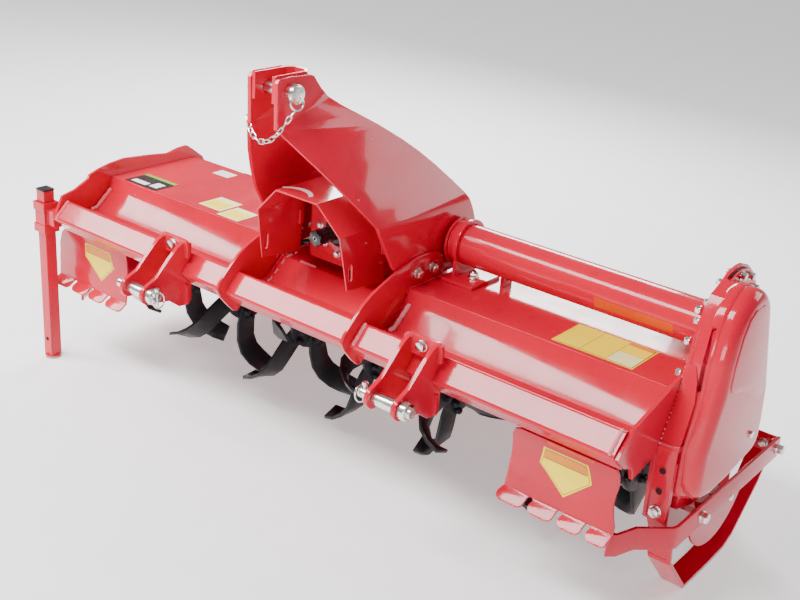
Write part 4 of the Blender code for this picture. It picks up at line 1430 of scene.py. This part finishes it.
@dataclass(frozen=True)
class Guard:
    """One guard: a bent sheet with a leaning lip of rounded tabs, its hoop and its blank label.

    Args:
        side: the side of the machine that it is on.
        rows: the front face's line, as y and z.
        lip: the lip's lower end.
        near: outline down the edge at the greater x, as x and the distance down the sheet.
        far: outline up the edge at the lesser x.
        stops: the tabs' limits along x.
        label: the label's limits, as lowest x, highest x, top and point.
        back: how far the hoop's front end stands back.
    """

    side: Side
    rows: tuple[Point, ...]
    lip: Point
    near: tuple[Point, ...]
    far: tuple[Point, ...]
    stops: tuple[float, ...]
    label: tuple[float, float, float, float]
    back: float = 0.0
    thickness: float = 0.005
    gap: float = 0.0065

    def build(self) -> None:
        """Build the sheet with its hoop, which stand for the CAD's guard."""
        sheet = Piece(self.side.named("guard_sheet_"))
        middle = [(y + self.thickness / 2, z) for y, z in self.rows] + [self.lip]
        fold = sum(math.dist(a, b) for a, b in zip(middle[:-1], middle[1:-1]))
        end = fold + math.dist(middle[-2], middle[-1])
        outline = [*self.near, *self._tabs(fold, end), *self.far]
        sheet.add(Solids.folded(outline, middle, self.thickness), RED)
        sheet.add(self._hoop(), RED)
        sheet.done(self.side.named("guard_"))

    def _tabs(self, fold: float, end: float) -> list[Point]:
        """The lip's edge, cut into rounded tabs.

        Args:
            fold: distance down the sheet to the lip's fold.
            end: distance to the lip's end.

        Returns:
            The edge's points, from the greater x to the lesser.
        """
        first, last = self.stops[0], self.stops[-1]
        r = (end - fold) * 0.48
        edge: list[Point] = []
        for low, high in reversed(list(zip(self.stops, self.stops[1:]))):
            right, left = high - (self.gap if high != last else 0.0), low + (self.gap if low != first else 0.0)
            edge += [(right, fold + 0.006)] + Solids.arc(right - r, end - r, r, 20, 90, 6)
            edge += Solids.arc(left + r - 0.003, end - r, r, 90, 190, 8) + [(left, fold + 0.006)]
            if low != first:
                edge += Solids.arc(low, fold + 0.005, self.gap, 0, -180, 8)
        return edge

    def _hoop(self) -> Solid:
        """The flat bar that runs back from the guard, round the end of the machine.

        Returns:
            The hoop.
        """
        side = self.side.value
        path = [(0.784, 0.0535 + self.back), (0.797, 0.066 + self.back), (0.812, 0.112), (0.8435, 0.142),
                (0.854, 0.152), (0.8625, 0.1605), (0.8668, 0.172), (0.8668, 0.652)]
        outline = Solids.strip([(side * x, y) for x, y in path], 0.007, -side)
        return Solids.plate(outline, Facing.Z, -0.246, -0.197, 0.001)

    def _front(self, z: float) -> float:
        """The front face at a height.

        Args:
            z: the height.

        Returns:
            Its y.
        """
        for (y0, z0), (y1, z1) in zip(self.rows, self.rows[1:]):
            if z >= z1:
                return y0 + (y1 - y0) * (z - z0) / (z1 - z0)
        return self.rows[-1][0]

    def _shield(self, inset: float) -> list[Point]:
        """The label's five-sided outline with its point down.

        Args:
            inset: how far it is drawn in.

        Returns:
            Its corners.
        """
        x0, x1, top, low = self.label
        shoulder = top + (low - top) * 0.43
        return [(x0 + 0.009 + inset, top - inset), (x1 - 0.009 - inset, top - inset), (x1 - inset, shoulder),
                ((x0 + x1) / 2, low + inset * 1.5), (x0 + inset, shoulder)]

    def _band(self, inset: tuple[float, float], top: float, low: float) -> list[Point]:
        """A band across the label from top to low, its upper and lower corners drawn in by inset."""
        x0, x1 = self.label[:2]
        return [(x0 + inset[0], top), (x1 - inset[0], top), (x1 - inset[1], low), (x0 + inset[1], low)]

    def mark(self) -> None:
        """Build the blank label: yellow in a dark line, an orange band and the strip above it."""
        label = Piece(self.side.named("guard_label_"))
        for inset, finish in ((0.0, YELLOW), (0.0035, INK), (0.0045, YELLOW)):
            label.add(Solids.film(self._shield(inset), self._front, 0.0005 + inset * 0.08), finish)
        x0, x1, top, _ = self.label
        edge = top - 0.0045
        label.add(Solids.film(self._band((0.0135, 0.0100), edge, edge - 0.020), self._front, 0.0013), ORANGE)
        label.add(Solids.film(self._band((0.0100, 0.0100), edge - 0.020, edge - 0.0215), self._front, 0.0013), INK)
        strip = [(x0 + 0.018, top + 0.018), (x1 + 0.004, top + 0.018), (x1 + 0.004, top + 0.010),
                 (x0 + 0.018, top + 0.010)]
        label.add(Solids.film(strip, self._front, 0.0008), AMBER)
        label.done()


@dataclass
class Guards:
    """Both guards, and the hoops' bolts and brackets."""

    hoop_x: float = 0.8668
    bolt_x: float = 0.8745
    bolt_z: float = -0.222
    right: Guard = Guard(
        Side.RIGHT,
        ((0.0335, -0.050), (0.0435, -0.085), (0.0495, -0.125), (0.0515, -0.165), (0.0505, -0.198)),
        (0.028, -0.217),
        ((0.792, 0.000), (0.797, 0.012), (0.797, 0.040), (0.791, 0.066), (0.789, 0.090), (0.792, 0.112),
         (0.797, 0.132), (0.797, 0.1500)),
        ((0.553, 0.1500), (0.558, 0.110), (0.564, 0.060), (0.566, 0.018), (0.573, 0.005), (0.585, 0.0)),
        (0.5500, 0.6165, 0.6830, 0.7450, 0.7970), (0.628, 0.742, -0.069, -0.165))
    left: Guard = Guard(
        Side.LEFT,
        ((0.0475, -0.040), (0.0555, -0.085), (0.0615, -0.125), (0.0635, -0.165), (0.0625, -0.198)),
        (0.041, -0.216),
        ((-0.604, 0.000), (-0.594, 0.006), (-0.590, 0.018), (-0.594, 0.050), (-0.604, 0.110), (-0.610, 0.1520)),
        ((-0.878, 0.1520), (-0.876, 0.110), (-0.868, 0.066), (-0.850, 0.030), (-0.825, 0.008), (-0.800, 0.0)),
        (-0.8790, -0.8120, -0.7440, -0.6760, -0.6100), (-0.762, -0.648, -0.072, -0.166), 0.012)

    def build(self) -> None:
        """Build the guards, their labels and the ironwork."""
        for guard in (self.right, self.left):
            guard.build()
        for guard in (self.right, self.left):
            guard.mark()
        iron = Piece("hoop_fittings")
        for side in (-1, 1):
            self._hoop_end(iron, side)
        Weld(0.0022).lay(iron, [(0.786, 0.049, -0.199), (0.797, 0.064, -0.197)])
        iron.done()

    def _hoop_end(self, iron: Piece, side: int) -> None:
        """One hoop's bolts, and the angle bracket at its rear end.

        Args:
            iron: the piece that they belong to.
            side: 1 or -1, the side of the machine.
        """
        out, z = ACROSS * side, self.bolt_z
        for y in (0.2720, 0.6420):
            Bolt(0.020, 0.011).fit(iron, (side * self.bolt_x, y, z), out)
        Bolt(0.018, 0.008, 0.004).fit(iron, (side * self.hoop_x, 0.2720, z), -out)
        for inner_x, y in ((0.8090, 0.6480), (0.8610, 0.6300)):
            x0, x1 = sorted((side * inner_x, side * self.hoop_x))
            iron.add(Solids.box((x0, y, z - 0.020), (x1, 0.6540, z + 0.022), 0.001), RED)
        Bolt(0.016, 0.008).fit(iron, (side * 0.8400, 0.6478, z), FRONT)


@dataclass
class Stand:
    """The parking stand's cap, hole and foot weld, with the sleeve's locking pin and welds."""

    x: float = -0.858
    y: float = 0.015
    half: float = 0.0155
    seam_x: float = -0.8092
    hole_z: float = -0.361
    hole: Turned = Turned(-0.0159, -0.0135, 0.0058, 24)
    pin: Turned = Turned(0.0190, 0.046, 0.0045, 20, 0.001)
    pin_z: float = -0.020

    def build(self) -> None:
        """Build what moves with the leg, then what stays on the sleeve."""
        x, y, h = self.x, self.y, self.half
        leg = Piece("leg_fittings", Body.STAND)
        cap = h + 0.0008
        leg.add(Solids.box((x - cap, y - cap, 0.0490), (x + cap, y + cap, 0.0545), 0.0016), RUBBER)
        # The leg's hole is a thin disc of painted shade.
        self.hole.fit(leg, (x, y, self.hole_z), PAINTED_SHADE_HOLE, BACK)
        leg.add(Solids.ring((x, y - h - 0.0002, self.hole_z), BACK, 0.0060, 0.0006, 24), RED_RUBBED)
        foot = [(*spot, -0.4062) for spot in Solids.arc(x, y, 0.0185, 0, 360, 12)]
        Weld(0.0022).lay(leg, foot, RED_RUBBED)
        leg.done()
        sleeve = Piece("sleeve_fittings")
        Weld(0.0022).lay(sleeve, Solids.at_x(self.seam_x, ((y - 0.010, -0.037), (y + 0.030, -0.037))))
        Weld(0.0022).lay(sleeve, Solids.at_x(self.seam_x, ((y - 0.0125, -0.036), (y - 0.0125, 0.004))))
        self.pin.fit(sleeve, (x, y, self.pin_z), axis=BACK)
        sleeve.add(Solids.ring((x, y + 0.046, self.pin_z - 0.004), (1, 0.2, 0), 0.011, 0.0016, 28), ZINC)
        sleeve.done()


@dataclass
class Rotor:
    """The bolts that hold the blades to their flanges, and the flanges' welds."""

    y: float = 0.352
    z: float = -0.188
    step: float = 0.232
    flanges: int = 7
    phase: float = 17.0
    holes: tuple[Point, ...] = ((0.062, -0.15), (0.078, 0.14))
    tube: float = 0.040

    def build(self) -> None:
        """Build one piece of bolts and weld for each flange."""
        for index in range(self.flanges):
            inner = 0 < index < self.flanges - 1
            count = 6 if inner else 4
            bolts = Piece("blade_bolts_%d" % (index + 1), Body.ROTOR)
            centre = (index - self.flanges // 2) * self.step
            for k in range(count):
                hand = (1 if k % 2 == 0 else -1) if inner else (1 if index == 0 else -1)
                self._pair(bolts, centre, hand, math.radians(360.0 / count * k + index * self.phase))
            seam = Solids.at_x(centre - 0.0055, Solids.arc(self.y, self.z, self.tube, 0, 360, 24))
            Weld(0.0030, 0.006).lay(bolts, seam, BLACK)
            bolts.done()

    def _pair(self, bolts: Piece, centre: float, hand: int, angle: float) -> None:
        """The two bolts of one blade, with their nuts.

        Args:
            bolts: the piece that they belong to.
            centre: the flange's middle along X.
            hand: 1 or -1, the side of the flange that the blade is on.
            angle: the blade's angle about the rotor, in radians.
        """
        for radius, lean in self.holes:
            y, z = self.y + radius * math.cos(angle + lean), self.z + radius * math.sin(angle + lean)
            Bolt(0.017, 0.008).fit(bolts, (centre + hand * 0.0108, y, z), ACROSS * hand, BLACK)
            Bolt(0.017, 0.008, 0.004).fit(bolts, (centre - hand * 0.0040, y, z), ACROSS * -hand, BLACK)


@dataclass
class LeftEnd:
    """The fittings of the left end: the bearing, the skid's bolts and the band's holes."""

    y: float = 0.352
    z: float = -0.188
    band_x: float = -0.826
    bearing_circle: float = 0.045
    hole: Turned = Turned(0.1560, 0.1574, 0.0070, 28)
    cap: Turned = Turned(-0.8422, -0.8500, 0.026, 36, 0.003)
    nipple: Turned = Turned(-0.8490, -0.8560, 0.0042, 16, tip=0.0026)

    def build(self) -> None:
        """Build the bearing's fittings, then the band's."""
        iron = Piece("left_end_fittings")
        self._bearing(iron)
        x = self.band_x
        for z in (-0.066, -0.110):
            Bolt(0.019, 0.009).fit(iron, (x, 0.1568, z), FRONT)
            Bolt(0.019, 0.008, 0.005).fit(iron, (x, 0.1720, z), BACK)
        # The band's holes are thin discs of painted shade.
        for z in (-0.154, -0.184):
            self.hole.fit(iron, (x, 0, z), PAINTED_SHADE_HOLE, BACK)
        Weld(0.0027).lay(iron, Solids.at_x(-0.8090, ((0.1575, -0.048), (0.1575, -0.196))))
        for spot in Solids.at_x(-0.8085, ((0.230, 0.060), (0.330, 0.056), (0.425, 0.060))):
            Bolt(0.014, 0.008).fit(iron, spot, -ACROSS)
        iron.done()

    def _bearing(self, iron: Piece) -> None:
        """The bearing's bolts, cap, grease nipple and seat.

        Args:
            iron: the piece that they belong to.
        """
        y, z = self.y, self.z
        Bolt(0.014, 0.008).circle(iron, (-0.8425, y, z), -ACROSS, self.bearing_circle, range(45, 405, 90))
        self.cap.fit(iron, (0, y, z), RED)
        self.nipple.fit(iron, (0, y, z))
        iron.add(Solids.ring((-0.8100, y, z), ACROSS, 0.0600, 0.0022, 48), RED)


@dataclass
class Gate:
    """The rear gate's ribs, its rolled lower edge and the knuckles on its hinge rod."""

    hinge_y: float = 0.476
    hinge_z: float = 0.050
    half: float = 0.786
    edge_y: float = 0.6370
    edge_z: float = -0.404
    ribs: tuple[float, ...] = (-0.52, -0.17, 0.17, 0.52)
    knuckles: tuple[float, ...] = (-0.60, -0.20, 0.20, 0.60)
    knuckle: Turned = Turned(-0.020, 0.020, 0.0122, 28, 0.001)
    web: tuple[Point, ...] = (
        (0.538, 0.0245), (0.598, -0.0265), (0.6295, -0.108), (0.6355, -0.200), (0.6335, -0.300),
        (0.6485, -0.300), (0.6490, -0.200), (0.6410, -0.105), (0.6080, -0.0200), (0.548, 0.033))

    def build(self) -> None:
        """Build the ribs, the lower edge and the knuckles."""
        gate = Piece("gate_ribs", Body.GATE)
        for x in self.ribs:
            gate.add(Solids.plate(self.web, Facing.X, x - 0.003, x + 0.003, 0.0008), RED)
        edge = [(x, self.edge_y, self.edge_z) for x in (-self.half, self.half)]
        gate.add(Solids.wire(edge, 0.0045), RED_RUBBED)
        for x in self.knuckles:
            self.knuckle.fit(gate, (x, self.hinge_y, self.hinge_z), RED)
        gate.done()


@dataclass(frozen=True)
class Lamp:
    """A soft oblong light.

    Args:
        name: its name.
        spot: where it stands.
        target: the point that it faces.
        size: its width and depth.
        power: its power in watts.
        square: whether it faces straight along Y, with its width along X.
    """

    name: str
    spot: Point
    target: Point
    size: tuple[float, float]
    power: float
    square: bool = True

    def light(self) -> None:
        """Set the lamp up."""
        data = bpy.data.lights.new(self.name, 'AREA')
        data.shape = 'RECTANGLE'
        data.size, data.size_y = self.size
        data.energy = self.power
        toward = Vector(self.target) - Vector(self.spot)
        if self.square:
            toward.x = 0.0
        lamp = bpy.data.objects.new(self.name, data)
        lamp.matrix_world = Matrix.Translation(self.spot) @ toward.to_track_quat('-Z', 'Y').to_matrix().to_4x4()
        bpy.context.scene.collection.objects.link(lamp)


@dataclass
class Studio:
    """The pale floor, the soft lights and the camera."""

    reach: float = 30.0
    drop: float = 0.0012
    glow: float = 0.5
    air: float = 0.36
    lens: float = 53.18
    sensor: float = 36.0
    spot: tuple[float, float, float] = (1.5739389, -1.9540417, 1.4492122)
    across: tuple[float, float, float] = (0.7733547784, 0.6300812644, 0.0701426185)
    upward: tuple[float, float, float] = (-0.3002327100, 0.2665450243, 0.9158679326)
    lamps: tuple[Lamp, ...] = (
        Lamp("key_light", (-1.9, -1.75, 3.0), (0.0, -0.25, 0.4), (4.6, 0.8), 330.0),
        Lamp("rear_light", (-1.7, 2.7, 2.1), (0.0, 0.0, 0.4), (2.4, 0.9), 150.0),
        Lamp("front_light", (1.6, -4.0, 0.9), (0.2, 0.0, 0.3), (2.0, 0.8), 60.0),
        Lamp("side_light", (2.3, 3.0, 2.1), (0.2, 0.0, 0.6), (2.0, 1.8), 62.0, False))

    def build(self) -> None:
        """Build the floor, the lights, the surrounding light and the camera."""
        self._floor()
        for lamp in self.lamps:
            lamp.light()
        world = bpy.data.worlds.new("studio")
        world.use_nodes = True
        background = world.node_tree.nodes["Background"]
        background.inputs["Color"].default_value = (1.0, 1.0, 1.0, 1.0)
        background.inputs["Strength"].default_value = self.air
        bpy.context.scene.world = world
        self._camera()

    def _floor(self) -> None:
        """A wide pale floor under the machine, with a slight glow that keeps it pale in the shade."""
        shape = bmesh.new()
        bmesh.ops.create_grid(shape, x_segments=2, y_segments=2, size=self.reach,
                              matrix=Matrix.Translation((0, 0, -self.drop)))
        mesh = bpy.data.meshes.new("studio_floor")
        shape.to_mesh(mesh)
        shape.free()
        finish = Finish("pale_floor", (0.93, 0.93, 0.93), (0.90, 0.90, 0.905), (0.55, 0.75)).material()
        mesh.materials.append(finish)
        shader = finish.node_tree.nodes["Principled BSDF"]
        shader.inputs["Emission Color"].default_value = (1.0, 1.0, 1.0, 1.0)
        shader.inputs["Emission Strength"].default_value = self.glow
        floor = bpy.data.objects.new("studio_floor", mesh)
        bpy.context.scene.collection.objects.link(floor)

    def _camera(self) -> None:
        """The camera, from the front right and above."""
        data = bpy.data.cameras.new("view")
        data.lens = self.lens
        data.sensor_width = self.sensor
        camera = bpy.data.objects.new("view", data)
        across, upward = Vector(self.across), Vector(self.upward)
        turn = Matrix((across, upward, across.cross(upward))).transposed().to_4x4()
        camera.matrix_world = Matrix.Translation(self.spot) @ turn
        bpy.context.scene.collection.objects.link(camera)
        bpy.context.scene.camera = camera


def main() -> None:
    """Build every sub-assembly in order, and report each."""
    logging.basicConfig(level=logging.INFO, format="%(message)s")
    parts = (FrameDress(), DriveLine(), Mast(), Hitch(), Deck(), SideDrive(), Guards(), Stand(), Rotor(), LeftEnd(),
             Gate(), Studio())
    for part in parts:
        part.build()
        log.info("built: %s", type(part).__name__)


if __name__ == "__main__":
    main()
